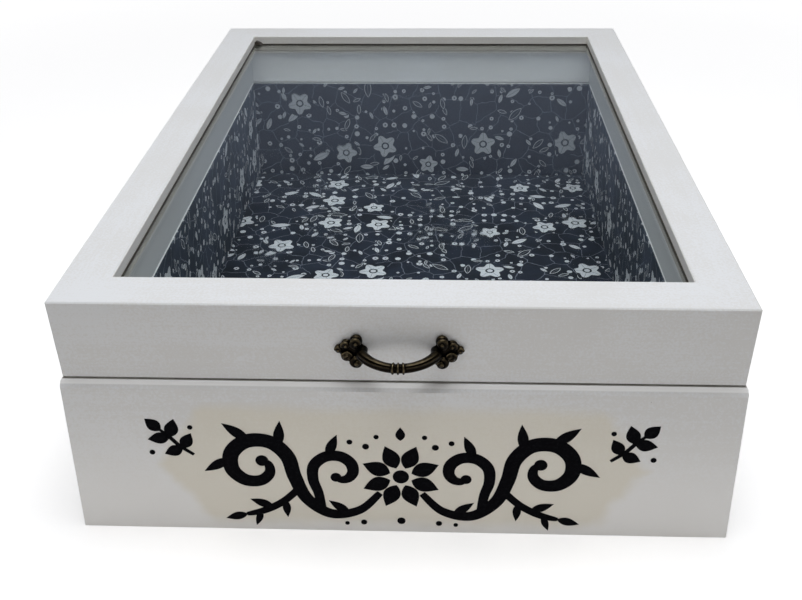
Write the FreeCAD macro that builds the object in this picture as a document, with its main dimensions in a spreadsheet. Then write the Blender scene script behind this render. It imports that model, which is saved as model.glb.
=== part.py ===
import FreeCAD, Part
import os
import Sketcher
from FreeCAD import Placement, Rotation, Vector

# Hinged-lid tea box, painted wood with a glass window in the lid.
#
# Frame: millimetres, +Z up. X runs left to right, Y front to back, and the origin is the centre of
# the underside, so the front board faces -Y. The lid is closed.

# --------------------------------------------------------------------------------------------------
# Driving dimensions
# --------------------------------------------------------------------------------------------------

SIZES = [
    # carcass
    ("overall_width", 250.0, "outside of the box, left to right"),
    ("overall_depth", 350.0, "outside of the box, front to back"),
    ("base_height", 68.0, "underside to the rim of the base"),
    ("closing_gap", 1.0, "open joint between rim and closed lid"),
    ("lid_height", 33.0, "underside of the lid to its top face"),
    ("board_thickness", 15.5, "walls of base and lid"),
    ("arris", 0.5, "sanded chamfer on the outer edges"),
    ("rim_chamfer", 2.4, "bevel along the rim of the front board"),
    ("front_lean", 2.6, "how far the lid's front face runs in towards its underside"),
    ("side_lean", 0.7, "the same on the lid's left and right faces"),
    # floor
    ("floor_thickness", 3.0, "plywood panel let in flush with the underside"),
    ("floor_rebate", 8.0, "width of the ledge that the floor panel is glued to"),
    ("floor_play", 0.2, "gap round the edge of the floor panel"),
    # lining paper
    ("lining_thickness", 0.5, "card-backed patterned paper"),
    ("lining_margin", 0.2, "bare wood between the paper's top edge and the rim"),
    # window
    ("bead_width", 3.5, "how far lip and glazing bead reach in past the boards"),
    ("lip_thickness", 5.5, "lip of the lid boards that covers the edge of the glass"),
    ("window_arris", 0.4, "sanded chamfer round the window"),
    ("glass_thickness", 2.0, "float glass"),
    ("glass_play", 0.4, "gap round the edge of the glass"),
    ("seal_width", 0.7, "dark sealant on the glass, at the foot of the lip"),
    ("seal_height", 0.6, "up the lip"),
    ("bead_height", 4.0, "glazing bead that holds the glass up against the lip"),
    ("bead_arris", 0.8, "bevel on the bead's lower inner edge"),
    # butt hinges, set in the back boards
    ("hinge_chamfer", 2.4, "bevels along the back of rim and lid; they meet and stop the lid"),
    ("hinge_spread", 160.0, "distance between the middles of the two hinges"),
    ("hinge_length", 25.0, "length of each barrel and leaf"),
    ("hinge_reach", 10.4, "pin axis to the far edge of the leaf"),
    ("leaf_thickness", 1.0, "brass leaf"),
    ("barrel_radius", 2.2, "outside of the knuckles"),
    ("pin_radius", 1.0, "hinge pin"),
    ("pin_clearance", 0.05, "radial running fit of pin in knuckles"),
    ("knuckle_play", 0.1, "end gap between neighbouring knuckles, each side"),
    ("mortise_play", 0.15, "gap round leaves in their mortises"),
    ("barrel_play", 0.3, "gap between the barrel and the cove cut for it"),
    ("hinge_screw_spacing", 14.0, "between the two screws of a leaf"),
    ("hinge_screw_setback", 6.2, "pin axis to the line of the screws"),
    ("hinge_screw_head", 1.8, "radius of the countersunk head"),
    ("hinge_screw_shank", 0.9, "radius"),
    ("hinge_screw_length", 8.0, "leaf face to the tip"),
    ("screw_play", 0.03, "radial gap round a screw"),
    # bow pull on the front of the lid, in its own frame: x along it, z up, -y out of the lid
    ("pull_height", 14.0, "underside of the lid to the middle of the pull"),
    ("pull_span", 26.4, "between the two posts of the bow"),
    ("pull_reach", 10.6, "seat to the middle line of the bow at its outermost"),
    ("post_reach", 3.2, "seat to where the bow springs from its posts"),
    ("post_radius", 2.3, "posts that carry the bow"),
    ("bow_radius", 1.75, "round section of the bow"),
    ("collar_radius", 2.25, "the three raised collars at the middle of the bow"),
    ("collar_width", 0.9, "along the bow"),
    ("collar_pitch", 1.8, "along the bow"),
    ("scroll_radius", 2.5, "the large scrolls above and below each post"),
    ("scroll_offset", 4.65, "from the line of the posts, up and down"),
    ("scroll_out", 2.0, "from the post outwards"),
    ("ball_stand", 0.5, "middle of scroll, petal or bud to the seat, as a share of its radius"),
    ("petal_radius", 1.95, "the petal above the screw boss"),
    ("petal_offset", 3.0, "upwards"),
    ("petal_out", 5.8, "from the post outwards"),
    ("tip_radius", 1.55, "the bud at the pull's end"),
    ("tip_offset", 0.5, "upwards"),
    ("tip_out", 8.7, "from the post outwards"),
    ("boss_radius", 2.5, "round boss that the screw passes through"),
    ("boss_height", 2.2, "seat to the face of the boss"),
    ("boss_offset", 1.7, "downwards"),
    ("boss_out", 5.4, "from the post outwards"),
    ("dome_radius", 5.3, "low dome that backs a cluster, where it meets the seat"),
    ("dome_rise", 1.7, "seat to its crown"),
    ("dome_out", 4.2, "from the post outwards"),
    ("pull_screw_head", 1.6, "radius of the domed head"),
    ("pull_screw_dome", 0.8, "height of the head"),
    ("pull_screw_shank", 0.95, "radius"),
    ("pull_screw_length", 12.0, "under the head"),
    # workshop
    ("overrun", 1.0, "how far a cutter runs past what it cuts"),
]

# Places that several pieces share, written in terms of the sizes above.
HALF_WIDTH = "Sizes.overall_width / 2"
HALF_DEPTH = "Sizes.overall_depth / 2"
RIM = "Sizes.base_height"
LID_BOTTOM = "(Sizes.base_height + Sizes.closing_gap)"
LID_TOP = "(Sizes.base_height + Sizes.closing_gap + Sizes.lid_height)"
GLASS_TOP = f"({LID_TOP} - Sizes.lip_thickness)"
GLASS_BOTTOM = f"({GLASS_TOP} - Sizes.glass_thickness)"
INNER_X = "(Sizes.overall_width / 2 - Sizes.board_thickness)"
INNER_Y = "(Sizes.overall_depth / 2 - Sizes.board_thickness)"
WINDOW_X = f"({INNER_X} - Sizes.bead_width)"
WINDOW_Y = f"({INNER_Y} - Sizes.bead_width)"
FLOOR_TOP = "(Sizes.floor_thickness + Sizes.lining_thickness)"
AXIS_Y = "(Sizes.overall_depth / 2 - Sizes.hinge_chamfer)"
AXIS_Z = "(Sizes.base_height + Sizes.closing_gap / 2)"
COVE_RADIUS = "(Sizes.barrel_radius + Sizes.barrel_play)"

LEFT, RIGHT = -1, 1
DOWN, UP = -1, 1
SIDE_NAMES = {LEFT: "left", RIGHT: "right"}
KNUCKLES = 5

doc = FreeCAD.newDocument("tea_box")
pieces = []


# --------------------------------------------------------------------------------------------------
# Helpers
# --------------------------------------------------------------------------------------------------

def make_sheet():
    """Put the driving dimensions in a spreadsheet, one alias each."""
    sheet = doc.addObject("Spreadsheet::Sheet", "Sizes")
    for row, (alias, value, meaning) in enumerate(SIZES, start=1):
        sheet.set(f"A{row}", alias)
        sheet.set(f"B{row}", str(value))
        sheet.set(f"C{row}", meaning)
        sheet.setAlias(f"B{row}", alias)
    doc.recompute()
    return sheet


def bind(thing, **formulas):
    """Tie properties of an object to formulas on the sheet."""
    for name, formula in formulas.items():
        thing.setExpression(name.replace("__", "."), formula)
    return thing


def place(thing, x="0", y="0", z="0", rotation=None):
    """Give an object a fixed rotation and a place that follows the sheet."""
    if rotation is not None:
        thing.Placement = Placement(Vector(0, 0, 0), rotation)
    return bind(thing, Placement__Base__x=x, Placement__Base__y=y, Placement__Base__z=z)


def box(name, x_range, y_range, z_range):
    """A Part box between three pairs of formulas."""
    block = doc.addObject("Part::Box", name)
    bind(block, Length=f"({x_range[1]}) - ({x_range[0]})", Width=f"({y_range[1]}) - ({y_range[0]})",
         Height=f"({z_range[1]}) - ({z_range[0]})")
    return place(block, x_range[0], y_range[0], z_range[0])


ALONG_X = Rotation(Vector(0, 1, 0), 90)
ALONG_Y = Rotation(Vector(1, 0, 0), -90)
ALONG_Z = Rotation()


def cylinder(name, radius, length, start, direction=ALONG_Z):
    """A Part cylinder that runs from its start along X, Y or Z."""
    rod = doc.addObject("Part::Cylinder", name)
    bind(rod, Radius=radius, Height=length)
    return place(rod, *start, rotation=direction)


def cone(name, radius_start, radius_end, length, start, direction=ALONG_Z):
    """A Part cone, with the radius at its start given first."""
    taper = doc.addObject("Part::Cone", name)
    bind(taper, Radius1=radius_start, Radius2=radius_end, Height=length)
    return place(taper, *start, rotation=direction)


def ball(name, radius, centre):
    """A Part sphere with its poles along Y."""
    sphere = doc.addObject("Part::Sphere", name)
    bind(sphere, Radius=radius)
    return place(sphere, *centre, rotation=ALONG_Y)


def fuse(name, shapes):
    """Join shapes in one object."""
    joined = doc.addObject("Part::MultiFuse", name)
    joined.Shapes = shapes
    return joined


def cut(name, base, tools):
    """Take one or more tools away from a base."""
    result = doc.addObject("Part::Cut", name)
    result.Base = base
    result.Tool = tools[0] if len(tools) == 1 else fuse(f"{name}_tools", tools)
    return result


def common(name, first, second):
    """What two shapes share."""
    result = doc.addObject("Part::Common", name)
    result.Base = first
    result.Tool = second
    return result


def piece(thing, node):
    """Name a finished piece."""
    thing.Label = node
    pieces.append(thing)
    return thing


def plane(body, role):
    """One of a body's own origin planes."""
    return next(item for item in body.Origin.OriginFeatures if item.Role == role)


def sketch_on(body, role, name, offset=None):
    """A sketch on an origin plane, lifted off it by a formula where one is given."""
    sketch = body.newObject("Sketcher::SketchObject", name)
    sketch.AttachmentSupport = [(plane(body, role), "")]
    sketch.MapMode = "FlatFace"
    if offset is not None:
        sketch.setExpression("AttachmentOffset.Base.z", offset)
    return sketch


def polygon(sketch, corners):
    """Draw a closed outline whose corners are held at formulas from the sketch's origin."""
    points = [Vector(float(sketch.evalExpression(x)), float(sketch.evalExpression(y)), 0)
              for x, y in corners]
    first = sketch.GeometryCount
    count = len(points)
    for index in range(count):
        sketch.addGeometry(Part.LineSegment(points[index], points[(index + 1) % count]), False)
    for index, (x, y) in enumerate(corners):
        line = first + index
        before = first + (index - 1) % count
        sketch.addConstraint(Sketcher.Constraint("Coincident", before, 2, line, 1))
        for kind, formula, value in (("DistanceX", x, points[index].x), ("DistanceY", y, points[index].y)):
            held = sketch.addConstraint(Sketcher.Constraint(kind, -1, 1, line, 1, value))
            sketch.setExpression(f"Constraints[{held}]", formula)
    return sketch


def rectangle(sketch, x_half, y_half):
    """Draw a rectangle centred on the sketch's origin."""
    corners = [(f"-({x_half})", f"-({y_half})"), (x_half, f"-({y_half})"),
               (x_half, y_half), (f"-({x_half})", y_half)]
    return polygon(sketch, corners)


def disc(sketch, x, y, radius):
    """Draw a circle."""
    centre = Vector(float(sketch.evalExpression(x)), float(sketch.evalExpression(y)), 0)
    size = float(sketch.evalExpression(radius))
    ring = sketch.addGeometry(Part.Circle(centre, Vector(0, 0, 1), size), False)
    held = (("DistanceX", x, centre.x), ("DistanceY", y, centre.y))
    for kind, formula, value in held:
        index = sketch.addConstraint(Sketcher.Constraint(kind, -1, 1, ring, 3, value))
        sketch.setExpression(f"Constraints[{index}]", formula)
    index = sketch.addConstraint(Sketcher.Constraint("Radius", ring, size))
    sketch.setExpression(f"Constraints[{index}]", radius)
    return sketch


def pad(body, name, sketch, length, symmetric=False, reverse=False):
    """Raise a sketch into a solid."""
    feature = body.newObject("PartDesign::Pad", name)
    feature.Profile = sketch
    feature.SideType = "Symmetric" if symmetric else "One side"
    feature.Reversed = reverse
    bind(feature, Length=length)
    return feature


def pocket(body, name, sketch, length, symmetric=False, reverse=False):
    """Cut a sketch out of the solid, and make sure that it took something away."""
    doc.recompute()
    before = body.Shape.Volume
    feature = body.newObject("PartDesign::Pocket", name)
    feature.Profile = sketch
    feature.SideType = "Symmetric" if symmetric else "One side"
    feature.Reversed = reverse
    bind(feature, Length=length)
    doc.recompute()
    if body.Shape.Volume >= before:
        raise RuntimeError(f"{name} cuts nothing")
    return feature


def mirror(body, name, features):
    """Repeat features on the other side of the YZ plane."""
    copy = body.newObject("PartDesign::Mirrored", name)
    copy.Originals = features
    copy.MirrorPlane = (plane(body, "YZ_Plane"), [""])
    body.Tip = copy
    doc.recompute()
    return copy


def chamfer(body, name, size, wanted):
    """Bevel the edges of a body that a test on their two ends picks out."""
    doc.recompute()
    tip = body.Tip
    edges = [f"Edge{number}" for number, edge in enumerate(tip.Shape.Edges, start=1)
             if len(edge.Vertexes) == 2 and wanted(edge.Vertexes[0].Point, edge.Vertexes[1].Point)]
    bevel = body.newObject("PartDesign::Chamfer", name)
    bevel.Base = (tip, edges)
    bind(bevel, Size=size)
    doc.recompute()
    return bevel


def near(first, second):
    """True where two lengths agree."""
    return abs(first - second) < 1e-4


# --------------------------------------------------------------------------------------------------
# Mitres: every frame of four boards or beads is cut from one ring by the same four sectors
# --------------------------------------------------------------------------------------------------

def mitre_sector(name, half_length, half_span, angle):
    """The wedge of space that one side of a mitred frame fills, front first and turned by angle."""
    reach = "(Sizes.board_thickness + Sizes.bead_width + Sizes.overrun)"
    sector = doc.addObject("Part::Wedge", name)
    sector.Placement = Placement(Vector(0, 0, 0), Rotation(Vector(0, 0, 1), angle))
    bind(sector, Xmin=f"-({half_length})", Xmax=half_length, X2min=f"-({half_length} - {reach})",
         X2max=f"{half_length} - {reach}", Ymin=f"-({half_span})", Ymax=f"-({half_span}) + {reach}",
         Zmin="-(Sizes.overrun)", Z2min="-(Sizes.overrun)", Zmax=f"{LID_TOP} + Sizes.overrun",
         Z2max=f"{LID_TOP} + Sizes.overrun")
    return sector


def mitred(ring, pattern, sectors, details=None):
    """Cut a ring into four pieces, named by the side each is on."""
    for side, sector in sectors.items():
        board = common(f"{ring.Name}_{side}", ring, sector)
        if details and side in details:
            board = cut(f"{ring.Name}_{side}_bored", board, details[side])
        piece(board, pattern.format(side))


# --------------------------------------------------------------------------------------------------
# Hinge housings, the same in the rim of the base and in the underside of the lid
# --------------------------------------------------------------------------------------------------

def house_hinges(body, face_z, into):
    """Cut leaf mortises, barrel coves and pilot holes in a carcass, going UP or DOWN into it."""
    centre = "Sizes.hinge_spread / 2"
    half = "(Sizes.hinge_length / 2 + Sizes.mortise_play)"
    left, right = f"{centre} - {half}", f"{centre} + {half}"
    far = f"{AXIS_Y} - Sizes.hinge_reach - Sizes.mortise_play"
    upwards = into == UP

    leaf = sketch_on(body, "XY_Plane", "leaf_outline", face_z)
    polygon(leaf, [(left, far), (right, far), (right, AXIS_Y), (left, AXIS_Y)])
    mortise = pocket(body, "leaf_mortise", leaf, "Sizes.leaf_thickness", reverse=upwards)

    barrel = sketch_on(body, "YZ_Plane", "barrel_outline", centre)
    disc(barrel, AXIS_Y, AXIS_Z, COVE_RADIUS)
    cove = pocket(body, "barrel_cove", barrel, f"2 * {half}", symmetric=True)

    holes = sketch_on(body, "XY_Plane", "pilot_outline", face_z)
    for side in (LEFT, RIGHT):
        disc(holes, f"{centre} + {side} * Sizes.hinge_screw_spacing / 2",
             f"{AXIS_Y} - Sizes.hinge_screw_setback", "Sizes.hinge_screw_shank + Sizes.screw_play")
    pilots = pocket(body, "pilot_holes", holes, "Sizes.hinge_screw_length + Sizes.overrun", reverse=upwards)
    mirror(body, "other_hinge", [mortise, cove, pilots])


# --------------------------------------------------------------------------------------------------
# Base
# --------------------------------------------------------------------------------------------------

def make_base_carcass():
    """The four walls of the base as one ring, before the mitres part them."""
    body = doc.addObject("PartDesign::Body", "base_carcass")
    outline = rectangle(sketch_on(body, "XY_Plane", "outline"), HALF_WIDTH, HALF_DEPTH)
    pad(body, "walls", outline, RIM)
    room = rectangle(sketch_on(body, "XY_Plane", "room_outline"), INNER_X, INNER_Y)
    pocket(body, "room", room, RIM, reverse=True)
    ledge = rectangle(sketch_on(body, "XY_Plane", "floor_outline"),
                      f"{INNER_X} + Sizes.floor_rebate", f"{INNER_Y} + Sizes.floor_rebate")
    pocket(body, "floor_rebate", ledge, "Sizes.floor_thickness", reverse=True)

    bevels = sketch_on(body, "YZ_Plane", "bevel_outline")
    polygon(bevels, [(f"-({HALF_DEPTH})", f"{RIM} - Sizes.rim_chamfer"),
                     (f"-({HALF_DEPTH}) + Sizes.rim_chamfer", RIM), (f"-({HALF_DEPTH})", RIM)])
    polygon(bevels, [(HALF_DEPTH, f"{RIM} - Sizes.hinge_chamfer"), (HALF_DEPTH, RIM),
                     (f"{HALF_DEPTH} - Sizes.hinge_chamfer", RIM)])
    pocket(body, "rim_bevels", bevels, "2 * Sizes.overall_width", symmetric=True)

    width = float(body.evalExpression(HALF_WIDTH))

    def corner(start, end):
        return near(abs(start.x), width) and near(start.x, end.x) and near(start.y, end.y)

    def side_rim(start, end):
        rim = float(body.evalExpression(RIM))
        return near(abs(start.x), width) and near(start.z, rim) and near(end.z, rim)

    chamfer(body, "corner_arris", "Sizes.arris", corner)
    chamfer(body, "side_arris", "Sizes.arris", side_rim)
    house_hinges(body, RIM, DOWN)
    return body


def make_floor():
    """The plywood floor, glued up into its rebate."""
    half_x = f"({INNER_X} + Sizes.floor_rebate - Sizes.floor_play)"
    half_y = f"({INNER_Y} + Sizes.floor_rebate - Sizes.floor_play)"
    piece(box("floor", (f"-{half_x}", half_x), (f"-{half_y}", half_y), ("0", "Sizes.floor_thickness")),
          "base_floor_panel")


def make_lining():
    """Patterned paper on the floor and the four walls of the base."""
    thick = "Sizes.lining_thickness"
    top = f"{RIM} - Sizes.lining_margin"
    low = ("Sizes.floor_thickness", FLOOR_TOP)
    tall = (FLOOR_TOP, top)
    inside_y = f"({INNER_Y} - {thick})"
    whole_x, whole_y = (f"-{INNER_X}", INNER_X), (f"-{INNER_Y}", INNER_Y)
    between = (f"-{inside_y}", inside_y)
    piece(box("paper_floor", whole_x, whole_y, low), "lining_floor")
    piece(box("paper_front", whole_x, (f"-{INNER_Y}", f"-{inside_y}"), tall), "lining_front")
    piece(box("paper_back", whole_x, (inside_y, INNER_Y), tall), "lining_back")
    piece(box("paper_left", (f"-{INNER_X}", f"-{INNER_X} + {thick}"), between, tall), "lining_left")
    piece(box("paper_right", (f"{INNER_X} - {thick}", INNER_X), between, tall), "lining_right")


# --------------------------------------------------------------------------------------------------
# Lid
# --------------------------------------------------------------------------------------------------

def make_lid_carcass():
    """The lid's frame as one ring: outer faces that lean in, a lip, and a rabbet for the glass."""
    body = doc.addObject("PartDesign::Body", "lid_carcass")
    low = sketch_on(body, "XY_Plane", "underside_outline", LID_BOTTOM)
    low_x = f"({HALF_WIDTH} - Sizes.side_lean)"
    low_front = f"-({HALF_DEPTH}) + Sizes.front_lean"
    polygon(low, [(f"-{low_x}", low_front), (low_x, low_front), (low_x, HALF_DEPTH),
                  (f"-{low_x}", HALF_DEPTH)])
    high = rectangle(sketch_on(body, "XY_Plane", "top_outline", LID_TOP), HALF_WIDTH, HALF_DEPTH)
    frame = body.newObject("PartDesign::AdditiveLoft", "frame")
    frame.Profile = low
    frame.Sections = [high]
    frame.Ruled = True

    window = rectangle(sketch_on(body, "XY_Plane", "window_outline", LID_TOP), WINDOW_X, WINDOW_Y)
    pocket(body, "window", window, "Sizes.lid_height")
    rabbet = rectangle(sketch_on(body, "XY_Plane", "rabbet_outline", LID_BOTTOM), INNER_X, INNER_Y)
    pocket(body, "rabbet", rabbet, "Sizes.lid_height - Sizes.lip_thickness", reverse=True)

    bevel = sketch_on(body, "YZ_Plane", "bevel_outline")
    polygon(bevel, [(f"{HALF_DEPTH} - Sizes.hinge_chamfer", LID_BOTTOM), (HALF_DEPTH, LID_BOTTOM),
                    (HALF_DEPTH, f"{LID_BOTTOM} + Sizes.hinge_chamfer")])
    pocket(body, "back_bevel", bevel, "2 * Sizes.overall_width", symmetric=True)

    top = float(body.evalExpression(LID_TOP))
    outer_x = float(body.evalExpression(HALF_WIDTH))
    outer_y = float(body.evalExpression(HALF_DEPTH))
    window_x = float(body.evalExpression(WINDOW_X))
    window_y = float(body.evalExpression(WINDOW_Y))
    half_board = float(body.evalExpression("Sizes.board_thickness / 2"))

    def top_outer(start, end):
        level = near(start.z, top) and near(end.z, top)
        return level and all(near(abs(p.x), outer_x) and near(abs(p.y), outer_y) for p in (start, end))

    def window_edge(start, end):
        level = near(start.z, top) and near(end.z, top)
        return level and all(near(abs(p.x), window_x) and near(abs(p.y), window_y) for p in (start, end))

    def corner(start, end):
        upright = abs(start.z - end.z) > abs(start.x - end.x) + abs(start.y - end.y)
        return upright and all(abs(p.x) > outer_x - half_board and abs(p.y) > outer_y - half_board
                               for p in (start, end))

    chamfer(body, "top_arris", "Sizes.arris", top_outer)
    chamfer(body, "corner_arris", "Sizes.arris", corner)
    chamfer(body, "window_bevel", "Sizes.window_arris", window_edge)
    house_hinges(body, LID_BOTTOM, UP)
    return body


def make_glass():
    """The pane, up against the lip."""
    half_x = f"({INNER_X} - Sizes.glass_play)"
    half_y = f"({INNER_Y} - Sizes.glass_play)"
    piece(box("pane", (f"-{half_x}", half_x), (f"-{half_y}", half_y), (GLASS_BOTTOM, GLASS_TOP)),
          "glass_pane")


def make_seal():
    """A thin line of sealant on top of the glass, all along the foot of the lip."""
    level = (GLASS_TOP, f"{GLASS_TOP} + Sizes.seal_height")
    inner_x, inner_y = f"({WINDOW_X} - Sizes.seal_width)", f"({WINDOW_Y} - Sizes.seal_width)"
    outside = box("seal_outside", (f"-{WINDOW_X}", WINDOW_X), (f"-{WINDOW_Y}", WINDOW_Y), level)
    inside = box("seal_inside", (f"-{inner_x}", inner_x), (f"-{inner_y}", inner_y), level)
    piece(cut("seal_line", outside, [inside]), "glazing_seal")


def make_beads():
    """The glazing bead under the glass, as one ring before the mitres part it."""
    body = doc.addObject("PartDesign::Body", "bead_ring")
    outline = rectangle(sketch_on(body, "XY_Plane", "outline", GLASS_BOTTOM), INNER_X, INNER_Y)
    pad(body, "strip", outline, "Sizes.bead_height", reverse=True)
    hole = rectangle(sketch_on(body, "XY_Plane", "hole_outline", GLASS_BOTTOM), WINDOW_X, WINDOW_Y)
    pocket(body, "hole", hole, "Sizes.bead_height")
    low = float(body.evalExpression(f"{GLASS_BOTTOM} - Sizes.bead_height"))
    inner_x = float(body.evalExpression(WINDOW_X))
    inner_y = float(body.evalExpression(WINDOW_Y))

    def lower_inner(start, end):
        level = near(start.z, low) and near(end.z, low)
        return level and all(near(abs(p.x), inner_x) and near(abs(p.y), inner_y) for p in (start, end))

    chamfer(body, "bevel", "Sizes.bead_arris", lower_inner)
    return body


# --------------------------------------------------------------------------------------------------
# Bow pull
# --------------------------------------------------------------------------------------------------

HALF_CHORD = "(Sizes.pull_span / 2)"
RISE = "(Sizes.pull_reach - Sizes.post_reach)"
BOW_ARC_RADIUS = f"(({HALF_CHORD} ^ 2 + {RISE} ^ 2) / (2 * {RISE}))"
PULL_CLEAR = "(2 * Sizes.pull_span)"
DOME_SPHERE = "((Sizes.dome_radius ^ 2 + Sizes.dome_rise ^ 2) / (2 * Sizes.dome_rise))"
SEAT_ROTATION = Rotation(Vector(1, 0, 0), 5)


def seat_on_lid(thing):
    """Place something made in the pull's frame on the leaning front face of the lid."""
    thing.Placement = Placement(Vector(0, 0, 0), SEAT_ROTATION)
    lean = "Sizes.front_lean / Sizes.lid_height"
    return bind(thing, Placement__Rotation__Angle=f"atan({lean})",
                Placement__Base__y=f"-({HALF_DEPTH}) + ({lean}) * (Sizes.lid_height - Sizes.pull_height)",
                Placement__Base__z=f"{LID_BOTTOM} + Sizes.pull_height")


def make_bow():
    """The bow: a round bar bent to an arc that stands out level, with three collars at its middle."""
    body = doc.addObject("PartDesign::Body", "pull_bow")
    centre = f"-(Sizes.pull_reach) + {BOW_ARC_RADIUS}"

    section = sketch_on(body, "YZ_Plane", "bow_section")
    bind(section, AttachmentOffset__Base__x=centre)
    disc(section, f"-{BOW_ARC_RADIUS}", "0", "Sizes.bow_radius")
    bar = body.newObject("PartDesign::Revolution", "bar")
    bar.Profile = section
    bar.ReferenceAxis = (section, ["V_Axis"])
    bar.Midplane = True
    bind(bar, Angle=f"2 * asin({HALF_CHORD} / {BOW_ARC_RADIUS})")

    pitch_angle = f"Sizes.collar_pitch / {BOW_ARC_RADIUS} * 180 / pi"
    start = sketch_on(body, "YZ_Plane", "collar_section")
    start.AttachmentOffset = Placement(Vector(0, 0, 0), Rotation(Vector(0, 1, 0), 5))
    bind(start, AttachmentOffset__Base__x=centre, AttachmentOffset__Rotation__Angle=pitch_angle)
    disc(start, f"-{BOW_ARC_RADIUS}", "0", "Sizes.collar_radius")
    collar = body.newObject("PartDesign::Revolution", "collar")
    collar.Profile = start
    collar.ReferenceAxis = (start, ["V_Axis"])
    collar.Midplane = True
    bind(collar, Angle=f"Sizes.collar_width / {BOW_ARC_RADIUS} * 180 / pi")
    doc.recompute()
    collars = body.newObject("PartDesign::PolarPattern", "collars")
    collars.Originals = [collar]
    collars.Axis = (start, ["V_Axis"])
    collars.Occurrences = 3
    collars.Reversed = True
    bind(collars, Angle=f"2 * ({pitch_angle})")
    body.Tip = collars
    doc.recompute()
    return body


def rosette(side):
    """The cluster at one end of the pull: dome, post, two scrolls, petal, bud and screw boss."""
    hand = SIDE_NAMES[side]

    def out(distance):
        return f"{side} * ({HALF_CHORD} + {distance})"

    def knot(part, radius, distance, height):
        return ball(f"{part}_{hand}", radius, (out(distance), f"-({radius}) * Sizes.ball_stand", height))

    post = cylinder(f"post_{hand}", "Sizes.post_radius", "Sizes.post_reach",
                    (out("0"), "-(Sizes.post_reach)", "0"), ALONG_Y)
    knob = ball(f"post_end_{hand}", "Sizes.post_radius", (out("0"), "-(Sizes.post_reach)", "0"))
    knots = [
        knot("scroll_upper", "Sizes.scroll_radius", "Sizes.scroll_out", "Sizes.scroll_offset"),
        knot("scroll_lower", "Sizes.scroll_radius", "Sizes.scroll_out", "-(Sizes.scroll_offset)"),
        knot("petal", "Sizes.petal_radius", "Sizes.petal_out", "Sizes.petal_offset"),
        knot("bud", "Sizes.tip_radius", "Sizes.tip_out", "Sizes.tip_offset"),
    ]
    boss = cylinder(f"boss_{hand}", "Sizes.boss_radius", "Sizes.boss_height",
                    (out("Sizes.boss_out"), "-(Sizes.boss_height)", "-(Sizes.boss_offset)"), ALONG_Y)
    dome = ball(f"dome_{hand}", DOME_SPHERE,
                (out("Sizes.dome_out"), f"{DOME_SPHERE} - Sizes.dome_rise", "0"))
    cluster = fuse(f"cluster_{hand}", [dome, post, knob, boss] + knots)
    behind = box(f"behind_seat_{hand}", (f"-{PULL_CLEAR}", PULL_CLEAR), ("0", PULL_CLEAR),
                 (f"-{PULL_CLEAR}", PULL_CLEAR))
    return cut(f"rosette_{hand}", cluster, [behind])


def screw_place(side, depth):
    """A point on the axis of one of the pull's screws, at a depth below the seat."""
    return (f"{side} * ({HALF_CHORD} + Sizes.boss_out)", depth, "-(Sizes.boss_offset)")


def make_pull():
    """The cast bow pull, its two screws, and the pilot holes they need in the front board."""
    outline = fuse("pull_outline", [make_bow(), rosette(LEFT), rosette(RIGHT)])
    bores = [cylinder(f"pull_bore_{hand}", "Sizes.pull_screw_shank + Sizes.screw_play",
                      "Sizes.boss_height + 2 * Sizes.overrun",
                      screw_place(side, "-(Sizes.boss_height + Sizes.overrun)"), ALONG_Y)
             for side, hand in SIDE_NAMES.items()]
    piece(seat_on_lid(cut("pull_casting", outline, bores)), "pull_handle")

    screws, pilots = [], []
    face = "-(Sizes.boss_height)"
    for side, hand in SIDE_NAMES.items():
        head = cylinder(f"pull_screw_head_{hand}", "Sizes.pull_screw_head", "Sizes.pull_screw_dome",
                        screw_place(side, f"{face} - Sizes.pull_screw_dome"), ALONG_Y)
        shank = cylinder(f"pull_screw_shank_{hand}", "Sizes.pull_screw_shank",
                         "Sizes.pull_screw_length", screw_place(side, face), ALONG_Y)
        screws.append(fuse(f"pull_screw_{hand}", [head, shank]))
        pilots.append(cylinder(f"pull_pilot_{hand}", "Sizes.pull_screw_shank + Sizes.screw_play",
                               "Sizes.pull_screw_length", screw_place(side, "-(Sizes.overrun)"), ALONG_Y))
    piece(seat_on_lid(fuse("pull_screw_pair", screws)), "handle_screws")
    return seat_on_lid(fuse("pull_pilots", pilots))


# --------------------------------------------------------------------------------------------------
# Hinges
# --------------------------------------------------------------------------------------------------

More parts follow.
